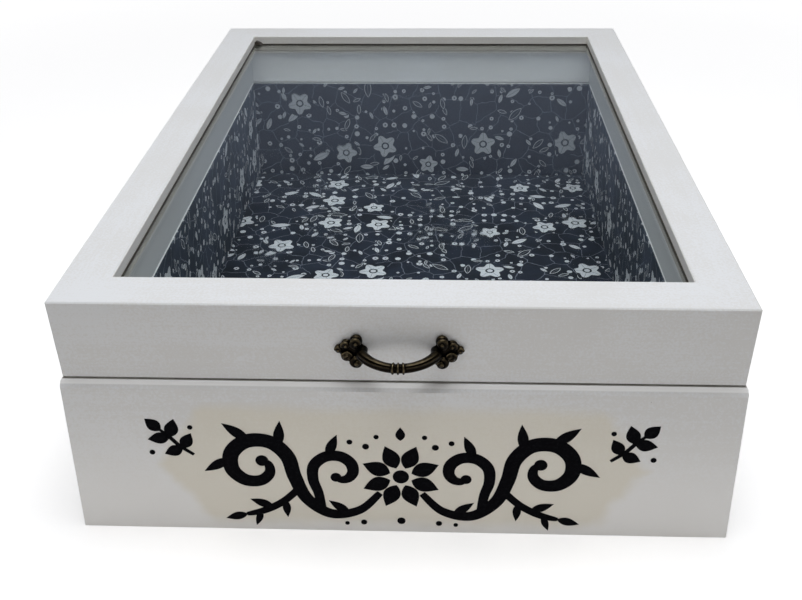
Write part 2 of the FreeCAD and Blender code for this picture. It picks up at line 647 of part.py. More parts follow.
def hinge_leaf(node, side, part_of_base):
    """A leaf with its own knuckles: the base leaf has the odd ones, the lid leaf the even ones."""
    sign = -1 if part_of_base else 1
    middle = f"{side} * Sizes.hinge_spread / 2"
    start = f"({middle} - Sizes.hinge_length / 2)"
    face = f"({AXIS_Z} + {sign} * Sizes.closing_gap / 2)"
    depth = f"({face} + {sign} * Sizes.leaf_thickness)"
    level = (depth, face) if part_of_base else (face, depth)
    near_edge = f"({AXIS_Y} - {COVE_RADIUS})"
    far_edge = f"({AXIS_Y} - Sizes.hinge_reach)"
    solids = [box(f"{node}_plate", (start, f"{start} + Sizes.hinge_length"), (far_edge, near_edge), level)]
    first = 0 if part_of_base else 1
    for number in range(first, KNUCKLES, 2):
        low = f"{start} + {number} * Sizes.hinge_length / {KNUCKLES} + Sizes.knuckle_play"
        length = f"Sizes.hinge_length / {KNUCKLES} - 2 * Sizes.knuckle_play"
        solids.append(cylinder(f"{node}_knuckle_{number}", "Sizes.barrel_radius", length,
                               (low, AXIS_Y, AXIS_Z), ALONG_X))
        solids.append(box(f"{node}_web_{number}", (low, f"{low} + {length}"), (near_edge, AXIS_Y), level))
    tools = [cylinder(f"{node}_bore", "Sizes.pin_radius + Sizes.pin_clearance",
                      "Sizes.hinge_length + 2 * Sizes.overrun",
                      (f"{start} - Sizes.overrun", AXIS_Y, AXIS_Z), ALONG_X)]
    for turn, end in SIDE_NAMES.items():
        x = f"{middle} + {turn} * Sizes.hinge_screw_spacing / 2"
        y = f"{AXIS_Y} - Sizes.hinge_screw_setback"
        wide = "Sizes.hinge_screw_head + Sizes.screw_play"
        slim = "Sizes.hinge_screw_shank + Sizes.screw_play"
        radii = (slim, wide) if part_of_base else (wide, slim)
        tools.append(cone(f"{node}_sink_{end}", *radii, "Sizes.leaf_thickness", (x, y, level[0])))
    piece(cut(f"{node}_leaf", fuse(f"{node}_blank", solids), tools), node)


def hinge_screws(node, part_of_base):
    """The four countersunk screws that hold the leaves of base or lid."""
    sign = -1 if part_of_base else 1
    face = f"({AXIS_Z} + {sign} * Sizes.closing_gap / 2)"
    under = f"({face} + {sign} * Sizes.leaf_thickness)"
    tip = f"({face} + {sign} * Sizes.hinge_screw_length)"
    screws = []
    for side, hand in SIDE_NAMES.items():
        for turn, end in SIDE_NAMES.items():
            tag = f"{node}_{hand}_{end}"
            x = f"{side} * Sizes.hinge_spread / 2 + {turn} * Sizes.hinge_screw_spacing / 2"
            y = f"{AXIS_Y} - Sizes.hinge_screw_setback"
            radii = ("Sizes.hinge_screw_shank", "Sizes.hinge_screw_head")
            if not part_of_base:
                radii = radii[::-1]
            head = cone(f"{tag}_head", *radii, "Sizes.leaf_thickness",
                        (x, y, under if part_of_base else face))
            shank = cylinder(f"{tag}_shank", "Sizes.hinge_screw_shank",
                             "Sizes.hinge_screw_length - Sizes.leaf_thickness",
                             (x, y, tip if part_of_base else under))
            screws.append(fuse(f"{tag}_screw", [head, shank]))
    piece(fuse(f"{node}_set", screws), node)


def make_hinges():
    """Both butt hinges, each of two leaves and a pin, with the screws that hold them."""
    for side, hand in SIDE_NAMES.items():
        hinge_leaf(f"hinge_{hand}_base_leaf", side, part_of_base=True)
        hinge_leaf(f"hinge_{hand}_lid_leaf", side, part_of_base=False)
        start = f"{side} * Sizes.hinge_spread / 2 - Sizes.hinge_length / 2"
        piece(cylinder(f"pin_{hand}", "Sizes.pin_radius", "Sizes.hinge_length",
                       (start, AXIS_Y, AXIS_Z), ALONG_X), f"hinge_{hand}_pin")
    hinge_screws("base_hinge_screws", part_of_base=True)
    hinge_screws("lid_hinge_screws", part_of_base=False)


# --------------------------------------------------------------------------------------------------
# Assembly and export
# --------------------------------------------------------------------------------------------------

def check_document():
    """Stop where a feature failed or a piece is not a sound solid."""
    doc.recompute()
    for thing in doc.Objects:
        if "Invalid" in thing.State or "Error" in thing.State:
            raise RuntimeError(f"{thing.Name} failed: {thing.State}")
    for thing in pieces:
        if thing.Shape.isNull() or not thing.Shape.isValid() or not thing.Shape.Solids:
            raise RuntimeError(f"{thing.Label} is not a valid solid")


def export_pieces():
    """Write one STEP file for each piece."""
    os.makedirs("parts", exist_ok=True)
    for thing in pieces:
        thing.Shape.exportStep(os.path.join("parts", f"{thing.Label}.step"))
        print(f"{thing.Label}: {len(thing.Shape.Solids)} solid(s), {thing.Shape.Volume / 1000:.2f} cm3")


make_sheet()
mitre_sectors = {
    "front": mitre_sector("sector_front", HALF_WIDTH, HALF_DEPTH, 0),
    "right": mitre_sector("sector_right", HALF_DEPTH, HALF_WIDTH, 90),
    "back": mitre_sector("sector_back", HALF_WIDTH, HALF_DEPTH, 180),
    "left": mitre_sector("sector_left", HALF_DEPTH, HALF_WIDTH, 270),
}
mitred(make_base_carcass(), "base_{}_board", mitre_sectors)
make_floor()
make_lining()
pilot_holes = make_pull()
mitred(make_lid_carcass(), "lid_{}_board", mitre_sectors, {"front": [pilot_holes]})
make_glass()
make_seal()
mitred(make_beads(), "glass_bead_{}", mitre_sectors)
make_hinges()
check_document()
export_pieces()
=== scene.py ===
"""Looks of a white painted tea box with a glazed, hinged lid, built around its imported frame.

The frame is in metres, +Z up. The box faces -Y and its lid is closed. Patterns are laid out in
millimetres, because that is the scale that paint, print and castings are made at.
"""

import logging
import math
import random
from dataclasses import dataclass, replace
from enum import Enum
from typing import Callable, ClassVar, Sequence

import bmesh
import bpy
import numpy as np
from mathutils import Euler, Matrix, Vector


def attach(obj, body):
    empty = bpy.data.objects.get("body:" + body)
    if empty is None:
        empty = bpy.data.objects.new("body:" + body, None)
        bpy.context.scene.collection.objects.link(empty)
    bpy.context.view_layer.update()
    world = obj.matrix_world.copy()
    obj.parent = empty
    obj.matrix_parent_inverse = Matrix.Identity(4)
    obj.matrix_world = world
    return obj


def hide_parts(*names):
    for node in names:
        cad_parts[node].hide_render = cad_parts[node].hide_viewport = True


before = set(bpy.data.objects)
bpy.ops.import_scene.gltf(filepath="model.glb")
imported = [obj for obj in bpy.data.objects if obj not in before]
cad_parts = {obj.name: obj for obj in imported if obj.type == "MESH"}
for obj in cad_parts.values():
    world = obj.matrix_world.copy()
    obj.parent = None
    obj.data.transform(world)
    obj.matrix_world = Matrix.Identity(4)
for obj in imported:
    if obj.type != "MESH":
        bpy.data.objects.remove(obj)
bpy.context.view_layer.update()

LOG = logging.getLogger("tea_box")
MM = 0.001
FLOAT, VECTOR = "NodeSocketFloat", "NodeSocketVector"
# Numbers of a Mix node's sockets for colours: its inputs, from the share on, and its result.
MIX_INPUTS, MIX_RESULT = (0, 6, 7), 2

Pair = tuple[float, float]
Colour = tuple[float, float, float]
Point = tuple[float, float, float]


class Body(Enum):
    """The rigid bodies that a piece can ride on."""

    BASE = "base"
    LID = "lid"


class Stroke(Enum):
    """The way a brush was drawn over a board, as how far each axis is drawn out."""

    ACROSS = (0.035, 1.0, 1.0)
    DEEP = (1.0, 0.035, 1.0)


class Sheet(Enum):
    """The two axes of the box that a sheet of lining paper lies along, by number."""

    FLOOR = (0, 1)
    CROSS_WALL = (0, 2)
    SIDE_WALL = (1, 2)


class Side(Enum):
    """Left or right of the middle of the box."""

    LEFT = -1
    RIGHT = 1


# --------------------------------------------------------------------------------------------------
# Node trees
# --------------------------------------------------------------------------------------------------

class Value:
    """What a node gives, so that nodes are summed and compared like plain numbers."""

    def __init__(self, bench: "Bench", socket: bpy.types.NodeSocket) -> None:
        """Hold one output of a node."""
        self.bench = bench
        self.socket = socket

    def __add__(self, other: object) -> "Value":
        """The sum."""
        return self.bench.math("ADD", self, other)

    def __sub__(self, other: object) -> "Value":
        """The difference."""
        return self.bench.math("SUBTRACT", self, other)

    def __rsub__(self, other: object) -> "Value":
        """What is left of a plain number."""
        return self.bench.math("SUBTRACT", other, self)

    def __mul__(self, other: object) -> "Value":
        """The product."""
        return self.bench.math("MULTIPLY", self, other)

    def __lt__(self, other: object) -> "Value":
        """1 where this is the smaller, else 0."""
        return self.bench.math("LESS_THAN", self, other)

    def __gt__(self, other: object) -> "Value":
        """1 where this is the larger, else 0."""
        return self.bench.math("GREATER_THAN", self, other)

    def __abs__(self) -> "Value":
        """The value without its sign."""
        return self.bench.math("ABSOLUTE", self)

    def larger(self, other: object) -> "Value":
        """The larger of the two."""
        return self.bench.math("MAXIMUM", self, other)

    def without(self, other: object) -> "Value":
        """A mask with another mask cut out of it."""
        return self.bench.math("SUBTRACT", self, other, clamp=True)

    def weighed(self, other: "Value", share: float) -> "Value":
        """A share of this and the rest of another."""
        return self * share + other * (1.0 - share)

    def spread(self, low: float, high: float) -> "Value":
        """A value that runs from 0 to 1, spread over another range."""
        return self.bench.math("MULTIPLY_ADD", self, high - low, low)

    def fade(self, start: float, end: float) -> "Value":
        """A smooth rise, from 0 where this is at start to 1 where it is at end."""
        return self.bench.op("ShaderNodeMapRange", "Result", {"interpolation_type": "SMOOTHSTEP"},
                             Value=self, From_Min=start, From_Max=end)

    def below(self, limit: object, blur: float = 0.12) -> "Value":
        """1 where this is below a limit, with an edge as soft as the blur."""
        return (limit - self).fade(-blur, blur)

    def noise(self, scale: object, detail: float = 2.0, roughness: float = 0.5) -> "Value":
        """Cloudy variation between 0 and 1 at this place; the scale is its features to the unit."""
        return self.bench.op("ShaderNodeTexNoise", "Fac", Vector=self, Scale=scale, Detail=detail,
                             Roughness=roughness)

    def drawn(self, factors: object) -> "Value":
        """A place drawn out by a factor on each axis."""
        return self.bench.vector("MULTIPLY", self, factors)

    def moved(self, shift: object) -> "Value":
        """A place moved by a vector."""
        return self.bench.vector("ADD", self, shift)

    def length(self) -> "Value":
        """The length of a vector."""
        return self.bench.vector("LENGTH", self)

    def parts(self) -> list["Value"]:
        """The three parts of a vector or a colour."""
        return self.bench.outputs(self.bench.node("ShaderNodeSeparateXYZ", Vector=self), *"XYZ")

    def relief(self, depth: float, strength: float) -> "Value":
        """The normal of a surface with this height, where 1 is a depth in millimetres."""
        return self.bench.op("ShaderNodeBump", "Normal", Strength=strength, Distance=depth * MM,
                             Height=self)


class Bench:
    """Lays out and joins the nodes of one tree."""

    def __init__(self, tree: bpy.types.NodeTree) -> None:
        """Start on a tree."""
        self.tree = tree

    def feed(self, target: bpy.types.NodeSocket, source: object) -> None:
        """Join an input to what a node gives, or set it to a plain value.

        Args:
            target: The input socket.
            source: A Value, or a number, vector, colour, name or material.
        """
        if isinstance(source, Value):
            self.tree.links.new(source.socket, target)
        else:
            target.default_value = (*source, 1.0) if target.type == "RGBA" else source

    def fill(self, made: bpy.types.Node, terms: Sequence[object], output: str | int = 0) -> Value:
        """Feed a node's inputs in their order.

        Args:
            made: The node.
            terms: Values or plain values.
            output: Name or number of the output that is wanted.

        Returns:
            What that output gives.
        """
        for target, source in zip(made.inputs, terms):
            self.feed(target, source)
        return Value(self, made.outputs[output])

    def node(self, kind: str, settings: dict[str, object] | None = None,
             **values: object) -> bpy.types.Node:
        """Add a node and feed its inputs by name.

        Args:
            kind: The node's type.
            settings: Its properties.
            values: Values or plain values for its inputs, with underscores for spaces.

        Returns:
            The new node.
        """
        made = self.tree.nodes.new(kind)
        for name, value in (settings or {}).items():
            setattr(made, name, value)
        for name, source in values.items():
            self.feed(made.inputs[name.replace("_", " ")], source)
        return made

    def op(self, kind: str, output: str | int = 0, settings: dict[str, object] | None = None,
           **values: object) -> Value:
        """Add a node in the same way, and take its output of a name or a number."""
        return Value(self, self.node(kind, settings, **values).outputs[output])

    def outputs(self, made: bpy.types.Node, *names: str) -> list[Value]:
        """What some outputs of a node give."""
        return [Value(self, made.outputs[name]) for name in names]

    def math(self, operation: str, *terms: object, clamp: bool = False) -> Value:
        """A number worked out by a Math node, kept between 0 and 1 where it is clamped."""
        made = self.node("ShaderNodeMath", {"operation": operation, "use_clamp": clamp})
        return self.fill(made, terms)

    def vector(self, operation: str, *terms: object) -> Value:
        """A vector worked out by a Vector Math node, or for LENGTH a number."""
        made = self.node("ShaderNodeVectorMath", {"operation": operation})
        return self.fill(made, terms, "Value" if operation == "LENGTH" else "Vector")

    def mix(self, share: object, first: object, second: object) -> Value:
        """Blend two colours.

        Args:
            share: Share of the second colour.
            first: The first colour.
            second: The second colour.

        Returns:
            The blend.
        """
        made = self.node("ShaderNodeMix", {"data_type": "RGBA"})
        for number, source in zip(MIX_INPUTS, (share, first, second)):
            self.feed(made.inputs[number], source)
        return Value(self, made.outputs[MIX_RESULT])

    def join(self, x: object = 0.0, y: object = 0.0, z: object = 0.0) -> Value:
        """A vector from its three parts."""
        return self.fill(self.node("ShaderNodeCombineXYZ"), (x, y, z))

    def millimetres(self) -> Value:
        """The point that is being painted, in millimetres."""
        return self.op("ShaderNodeTexCoord", "Object").drawn((1 / MM,) * 3)

    def ray(self, kind: str) -> Value:
        """1 for light paths of a kind, else 0."""
        return self.op("ShaderNodeLightPath", f"Is {kind} Ray")

    def seen(self) -> Value:
        """1 where the eye looks, straight, in a reflection or through glass; 0 for plain light."""
        return self.ray("Camera").larger(self.ray("Glossy").larger(self.ray("Transmission")))


class ShaderGroup:
    """A shader node group that is built once and placed in each material with its own values."""

    label: str = ""
    takes: dict[str, object] = {}
    gives: tuple[str, ...] = ()

    @classmethod
    def lay(cls, *takes: Value) -> tuple[Value, ...]:
        """Make the group's nodes; each group has its own way."""
        raise NotImplementedError

    @classmethod
    def tree(cls) -> bpy.types.NodeTree:
        """The group's node tree, built the first time that it is asked for.

        Returns:
            The tree.
        """
        found = bpy.data.node_groups.get(cls.label)
        if found is not None:
            return found
        made = bpy.data.node_groups.new(cls.label, "ShaderNodeTree")
        for name, default in cls.takes.items():
            kind = VECTOR if isinstance(default, tuple) else FLOAT
            made.interface.new_socket(name, in_out="INPUT", socket_type=kind).default_value = default
        for name in cls.gives:
            made.interface.new_socket(name, in_out="OUTPUT", socket_type=FLOAT)
        bench = Bench(made)
        results = cls.lay(*bench.outputs(bench.node("NodeGroupInput"), *cls.takes))
        bench.node("NodeGroupOutput", **dict(zip(cls.gives, results)))
        return made

    @classmethod
    def place(cls, bench: Bench, **values: object) -> list[Value]:
        """Put the group in a material, with its inputs by name, and take its outputs in order."""
        made = bench.node("ShaderNodeGroup", {"node_tree": cls.tree()}, **values)
        return bench.outputs(made, *cls.gives)


class BrushedCoat(ShaderGroup):
    """Brush marks and fine stipple of a coat of paint, and the slow drift of its tone."""

    label = "brushed_coat"
    takes = {"Vector": (0, 0, 0), "Stroke": (1, 1, 1), "Bristle": 1.3}
    gives = ("Height", "Tone")
    stipple_scale: float = 1.9
    cloud_scale: float = 0.02
    lane_scale: float = 0.16
    marks_share: float = 0.65
    clouds_share: float = 0.7

    @classmethod
    def lay(cls, *takes: Value) -> tuple[Value, ...]:
        """Drawn-out noise for the brush, round noise for the stipple, wide noise for the tone.

        Args:
            takes: The place, the brush's stroke and the scale of its bristles.

        Returns:
            The height of the coat and its tone.
        """
        place, stroke, bristle = takes
        lanes = place.drawn(stroke)
        marks = lanes.noise(bristle, detail=4.0, roughness=0.6)
        stipple = place.noise(cls.stipple_scale, detail=3.0, roughness=0.65)
        clouds = place.noise(cls.cloud_scale, detail=4.0, roughness=0.55)
        return (marks.weighed(stipple, cls.marks_share),
                clouds.weighed(lanes.noise(cls.lane_scale), cls.clouds_share))


class Specks(ShaderGroup):
    """Scattered specks of dust or pigment, a mask of 0 and 1."""

    label = "specks"
    takes = {"Vector": (0, 0, 0), "Spacing": 6.0, "Radius": 0.2, "Share": 0.2}
    gives = ("Mask",)
    sizes: Pair = (0.35, 1.0)

    @classmethod
    def lay(cls, *takes: Value) -> tuple[Value, ...]:
        """A dot at the heart of a chosen share of cells.

        Args:
            takes: The place, the spacing, the largest radius and the share of the cells.

        Returns:
            The mask.
        """
        place, spacing, radius, share = takes
        scale = place.bench.math("DIVIDE", 1.0, spacing)
        cell = place.bench.node("ShaderNodeTexVoronoi", {"feature": "F1"}, Vector=place, Scale=scale)
        distance, colour = place.bench.outputs(cell, "Distance", "Color")
        chance, size, _ = colour.parts()
        inside = distance < radius * scale * size.spread(*cls.sizes)
        return (inside * (chance < share),)


class WornMetal(ShaderGroup):
    """Fine pits and scratches of handled metal."""

    label = "worn_metal"
    takes = {"Vector": (0, 0, 0), "Pit Scale": 3.0, "Scratch": (1, 0.05, 1)}
    gives = ("Height", "Wear")
    scratch_scale: float = 6.0
    wear_scale: float = 0.35
    wear_limits: Pair = (0.35, 0.68)
    pits_share: float = 0.6

    @classmethod
    def lay(cls, *takes: Value) -> tuple[Value, ...]:
        """Fine noise for the pits, drawn-out noise for the scratches, wide noise for the wear.

        Args:
            takes: The place, the scale of the pits and the way of the scratches.

        Returns:
            The height of the surface and its wear.
        """
        place, pit_scale, scratch = takes
        pits = place.noise(pit_scale, detail=4.0, roughness=0.6)
        scratches = place.drawn(scratch).noise(cls.scratch_scale, detail=3.0, roughness=0.7)
        wear = place.noise(cls.wear_scale, detail=5.0, roughness=0.6)
        return pits.weighed(scratches, cls.pits_share), wear.fade(*cls.wear_limits)


@dataclass(frozen=True)
class Layer:
    """A layer of scattered motifs: their spacing and shift in millimetres, and their share of cells."""

    spacing: float
    shift: Point
    share: float


class GardenPrint(ShaderGroup):
    """A printed paper: pale blossoms, leaves and berries between thin stems on a dark ground."""

    label = "garden_print"
    takes = {"Vector": (0, 0, 0)}
    gives = ("Pale", "Stems")
    disorder: float = 0.75
    blossom_layer: Layer = Layer(31.0, (4.0, 9.0, 0.0), 0.60)
    blossom_radii: Pair = (6.0, 8.8)
    blossom_room: float = 1.2
    petal_edge: Pair = (0.83, 1.0)
    petals: float = 5.0
    ring: Pair = (0.20, 0.32)
    vein_width: float = 0.28
    vein_ink: float = 0.8
    leaf_layers: tuple[Layer, ...] = (Layer(16.0, (7.0, 3.0, 0.0), 0.40), Layer(9.5, (2.0, 13.0, 0.0), 0.36))
    leaf_reach: Pair = (0.24, 0.40)
    leaf_width: float = 0.36
    leaf_line: float = 0.4
    leaf_room: float = 0.7
    filled_leaves: float = 0.45
    rib_width: float = 0.13
    rib_ink: float = 0.7
    berry_layer: Layer = Layer(6.4, (1.0, 2.0, 0.0), 0.48)
    berry_radii: Pair = (0.7, 1.8)
    berry_blur: float = 0.10
    eyelet: float = 0.34
    plain_berries: float = 0.45
    stem_spacing: float = 13.0
    stem_width: float = 0.16
    stem_wander: Point = (5.0, 5.0, 0.0)
    wander_scale: float = 0.12

    @classmethod
    def cells(cls, place: Value, layer: Layer) -> tuple[Value, list[Value]]:
        """Scatter motifs, one to a cell.

        Args:
            place: The place on the paper, in millimetres.
            layer: How they are scattered.

        Returns:
            The place measured from the cell's own motif and turned with it, and three random
            numbers of the cell.
        """
        bench = place.bench
        moved = place.moved(layer.shift)
        cell = bench.node("ShaderNodeTexVoronoi", {"feature": "F1", "voronoi_dimensions": "2D"},
                          Vector=moved, Scale=1 / layer.spacing, Randomness=cls.disorder)
        heart, colour = bench.outputs(cell, "Position", "Color")
        chances = colour.parts()
        turned = bench.op("ShaderNodeVectorRotate", "Vector", {"rotation_type": "Z_AXIS"},
                          Vector=bench.vector("SUBTRACT", moved, heart), Angle=chances[2] * math.tau)
        return turned, chances

    @classmethod
    def blossoms(cls, place: Value) -> tuple[Value, Value]:
        """Five-petalled flowers with a dark ring round their hearts.

        Args:
            place: The place on the paper, in millimetres.

        Returns:
            The mask of the flowers, and the mask of the room that they keep free.
        """
        bench = place.bench
        local, (chance, size, _) = cls.cells(place, cls.blossom_layer)
        x, y, _ = local.parts()
        distance = local.length()
        angle = bench.math("ARCTAN2", y, x)
        radius = size.spread(*cls.blossom_radii)
        edge = radius * bench.math("COSINE", angle * cls.petals).spread(*cls.petal_edge)
        inner, outer = (radius * share for share in cls.ring)
        ring = distance.below(outer) - distance.below(inner)
        nick = abs(bench.math("SINE", angle * (cls.petals / 2))) * distance
        vein = nick.below(cls.vein_width) * (distance > outer)
        pattern = distance.below(edge).without(ring).without(vein * cls.vein_ink)
        room = distance.below(radius + cls.blossom_room)
        chosen = chance < cls.blossom_layer.share
        return pattern * chosen, room * chosen

    @classmethod
    def leaves(cls, place: Value, layer: Layer) -> tuple[Value, Value]:
        """Pointed leaves, some filled but for a dark midrib, some drawn in outline.

        Args:
            place: The place on the paper, in millimetres.
            layer: How they are scattered.

        Returns:
            The mask of the leaves, and the mask of the room that they keep free.
        """
        local, (chance, size, _) = cls.cells(place, layer)
        x, y, _ = local.parts()
        half_length = size.spread(*(reach * layer.spacing for reach in cls.leaf_reach))
        along = place.bench.math("DIVIDE", x, half_length)
        half_width = half_length * cls.leaf_width * (1.0 - along * along)
        aside = abs(y)
        rib = aside.below(cls.rib_width)
        hollow = aside.below(half_width - cls.leaf_line).without(rib)
        outlined = hollow * (chance > layer.share * cls.filled_leaves)
        pattern = aside.below(half_width).without(rib * cls.rib_ink).without(outlined)
        room = aside.below(half_width + cls.leaf_room)
        chosen = chance < layer.share
        return pattern * chosen, room * chosen

    @classmethod
    def berries(cls, place: Value) -> Value:
        """Round berries, about half of them with a dark eyelet.

        Args:
            place: The place on the paper, in millimetres.

        Returns:
            The mask of the berries.
        """
        local, (chance, size, kind) = cls.cells(place, cls.berry_layer)
        distance = local.length()
        radius = size.spread(*cls.berry_radii)
        eyelet = distance.below(radius * cls.eyelet, cls.berry_blur) * (kind > cls.plain_berries)
        berry = distance.below(radius, cls.berry_blur).without(eyelet)
        return berry * (chance < cls.berry_layer.share)

    @classmethod
    def stems(cls, place: Value) -> Value:
        """Thin crooked lines that part the print into fields.

        Args:
            place: The place on the paper, in millimetres.

        Returns:
            The mask of the stems.
        """
        wander = place.bench.op("ShaderNodeTexNoise", "Color", Vector=place, Scale=cls.wander_scale)
        edge = place.bench.op("ShaderNodeTexVoronoi", "Distance",
                              {"feature": "DISTANCE_TO_EDGE", "voronoi_dimensions": "2D"},
                              Vector=place.moved(wander.drawn(cls.stem_wander)), Scale=1 / cls.stem_spacing)
        return (edge * cls.stem_spacing).below(cls.stem_width)

    @classmethod
    def lay(cls, *takes: Value) -> tuple[Value, ...]:
        """Stack the layers, each kept out of the room of those above it.

        Args:
            takes: The place on the paper, in millimetres.

        Returns:
            The masks of the pale motifs and of the stems.
        """
        place = takes[0]
        pale, taken = cls.blossoms(place)
        for layer in cls.leaf_layers:
            leaf, room = cls.leaves(place, layer)
            pale = pale.larger(leaf * (1.0 - taken))
            taken = taken.larger(room)
        free = 1.0 - taken
        return pale.larger(cls.berries(place) * free), cls.stems(place) * free


# --------------------------------------------------------------------------------------------------
# Finishes
# --------------------------------------------------------------------------------------------------

@dataclass(frozen=True)
class Finish:
    """A material of the box: a colour and a height, which each kind works out in its own way.

    The height, from 0 to 1, spreads over the dullness where that is a range. Where there is a relief,
    it is the depth of the height in millimetres, and its strength.
    """

    name: str
    dullness: Pair | float
    relief: Pair | None = None
    gloss: float = 0.5
    extras: ClassVar[dict[str, float]] = {}

    def tones(self, place: Value) -> tuple[Value | Colour, Value]:
        """The colour and the height at a place in millimetres; each finish has its own way."""
        raise NotImplementedError

    def surface(self, shader: Value) -> Value:
        """What the material shows: the shader alone, unless a finish adds to it."""
        return shader

    def build(self) -> bpy.types.Material:
        """Make the material, once.

        Returns:
            The material.
        """
        found = bpy.data.materials.get(self.name)
        if found is not None:
            return found
        made = bpy.data.materials.new(self.name)
        made.use_nodes = True
        made.node_tree.nodes.clear()
        bench = Bench(made.node_tree)
        colour, height = self.tones(bench.millimetres())
        dullness = height.spread(*self.dullness) if isinstance(self.dullness, tuple) else self.dullness
        inputs = {"Base_Color": colour, "Roughness": dullness, "Specular_IOR_Level": self.gloss}
        if self.relief is not None:
            inputs["Normal"] = height.relief(*self.relief)
        shader = bench.op("ShaderNodeBsdfPrincipled", **inputs, **self.extras)
        bench.node("ShaderNodeOutputMaterial", Surface=self.surface(shader))
        return made


@dataclass(frozen=True)
class CreamPatch:
    """A faint cream ground under the artwork, six-sided with soft, uneven edges. In millimetres."""

    middle_height: float = 31.0
    half_height: float = 27.0
    half_width: float = 90.0
    taper: float = 0.55
    softness: float = 4.0
    drift_scale: float = 0.06
    drift: float = 7.0
    level_drift: float = 0.3
    colour: Colour = (0.785, 0.722, 0.565)
    share: float = 0.55

    def tint(self, place: Value, colour: Value) -> Value:
        """Lay the patch over the paint.

        Args:
            place: The place on the box, in millimetres.
            colour: The paint's colour.

        Returns:
            The tinted colour.
        """
        drift = place.noise(self.drift_scale, detail=3.0).spread(-self.drift, self.drift)
        x, _, z = place.parts()
        rise = abs(z - self.middle_height)
        slant = rise * self.taper + (abs(x) + drift)
        sides = slant.fade(self.half_width + self.softness, self.half_width - self.softness)
        top = drift * self.level_drift + rise
        level = top.fade(self.half_height + self.softness, self.half_height - self.softness)
        return place.bench.mix(sides * level * self.share, colour, self.colour)


@dataclass(frozen=True)
class BoardEdges:
    """The base's boards at foot and rim, with painted light: lighter towards the foot, a painted highlight on
    the rim's bevel, and painted shade in a dark line along the rim's outer edge, under the lid's gap.

    Each pair of limits runs from where a tint starts to where it is full, in millimetres.
    """

    # Painted light: the boards grow lighter towards the foot, as if lit by the floor.
    foot: Colour = (0.92, 0.915, 0.90)
    painted_foot_light_limits: Pair = (66.0, 4.0)
    # Painted highlight on the rim's bevel, which lies in the lid's shade.
    painted_arris_highlight: Colour = (0.97, 0.968, 0.955)
    painted_arris_highlight_limits: Pair = (66.5, 67.0)
    # Painted shade: a dark line along the rim's outer edge, under the lid's gap, broken up by noise.
    wear_and_shading: Colour = (0.40, 0.38, 0.345)
    gap_shade_limits: Pair = (67.9, 67.97)
    side_limits: Pair = (123.7, 124.7)
    front_limits: Pair = (-170.3, -171.5)
    wear_scale: float = 0.12
    wear: Pair = (0.55, 1.25)

    def tint(self, place: Value, colour: Value) -> Value:
        """Lay the tints over the paint.

        Args:
            place: The place on the box, in millimetres.
            colour: The paint's colour.

        Returns:
            The tinted colour.
        """
        x, y, height = place.parts()
        for limits, shade in ((self.painted_foot_light_limits, self.foot), (self.painted_arris_highlight_limits, self.painted_arris_highlight)):
            colour = place.bench.mix(height.fade(*limits), colour, shade)
        outer = abs(x).fade(*self.side_limits).larger(y.fade(*self.front_limits))
        wear = place.noise(self.wear_scale, detail=3.0).spread(*self.wear)
        # Painted shade of the lid's gap on the rim's outer edge.
        return place.bench.mix(height.fade(*self.gap_shade_limits) * outer * wear, colour, self.wear_and_shading)


@dataclass(frozen=True)
class WindowFrame:
    """The inner faces of the lid's boards: a tint in streaks on the lip above the glass, and a tint on the
    walls below it.

    The two openings are half widths and half depths that reach just past those faces, in millimetres.
    """

    lip_opening: Pair = (106.2, 156.2)
    wall_opening: Pair = (109.7, 159.7)
    foot: float = 96.0
    lip: Colour = (0.60, 0.57, 0.49)
    lip_share: float = 0.45
    # Painted shade on the walls below the glass, where its share is set.
    wall: Colour = (0.60, 0.605, 0.61)
    wall_shade_share: float = 0.0
    streaks: Point = (0.08, 0.08, 1.6)
    streak_shares: Pair = (0.5, 1.3)

    def tint(self, place: Value, colour: Value) -> Value:
        """Lay the two tints over the paint, the upper one in streaks.

        Args:
            place: The place on the box, in millimetres.
            colour: The paint's colour.

        Returns:
            The tinted colour.
        """
        x, y, z = place.parts()
        above = z > self.foot
        streaks = place.drawn(self.streaks).noise(1.0, detail=4.0)
        lip = above * streaks.spread(*(share * self.lip_share for share in self.streak_shares))
        wall = (1.0 - above) * self.wall_shade_share
        for opening, share, shade in ((self.lip_opening, lip, self.lip),
                                      (self.wall_opening, wall, self.wall)):
            inside = (abs(x) < opening[0]) * (abs(y) < opening[1])
            colour = place.bench.mix(inside * share, colour, shade)
        return colour


@dataclass(frozen=True)
class WhitePaint(Finish):
    """White chalk paint with a dull sheen, brushed over wood, with tints in places."""

    dullness: Pair = (0.42, 0.62)
    relief: Pair = (0.12, 0.55)
    gloss: float = 0.42
    stroke: Stroke = Stroke.ACROSS
    tints: tuple[BoardEdges | CreamPatch | WindowFrame, ...] = (BoardEdges(),)
    warm: Colour = (0.75, 0.745, 0.73)
    cool: Colour = (0.79, 0.797, 0.803)
    tone_limits: Pair = (0.36, 0.64)
    mottle: Pair = (-0.25, 0.25)
    grit: Pair = (-0.4, 0.4)
    grit_scale: float = 1.1
    fleck: Colour = (0.30, 0.29, 0.28)
    fleck_share: float = 0.5

    def tones(self, place: Value) -> tuple[Value | Colour, Value]:
        """Brush marks, drifting tone, the tints and a few flecks.

        Args:
            place: The place on the box, in millimetres.

        Returns:
            The colour and the height.
        """
        bench = place.bench
        height, tone = BrushedCoat.place(bench, Vector=place, Stroke=self.stroke.value)
        mottle = height.spread(*self.mottle) + place.noise(self.grit_scale).spread(*self.grit)
        colour = bench.mix((tone + mottle).fade(*self.tone_limits), self.warm, self.cool)
        for layer in self.tints:
            colour = layer.tint(place, colour)
        flecks = Specks.place(bench, Vector=place, Spacing=9.0, Radius=0.32, Share=0.16)[0]
        return bench.mix(flecks * self.fleck_share, colour, self.fleck), height


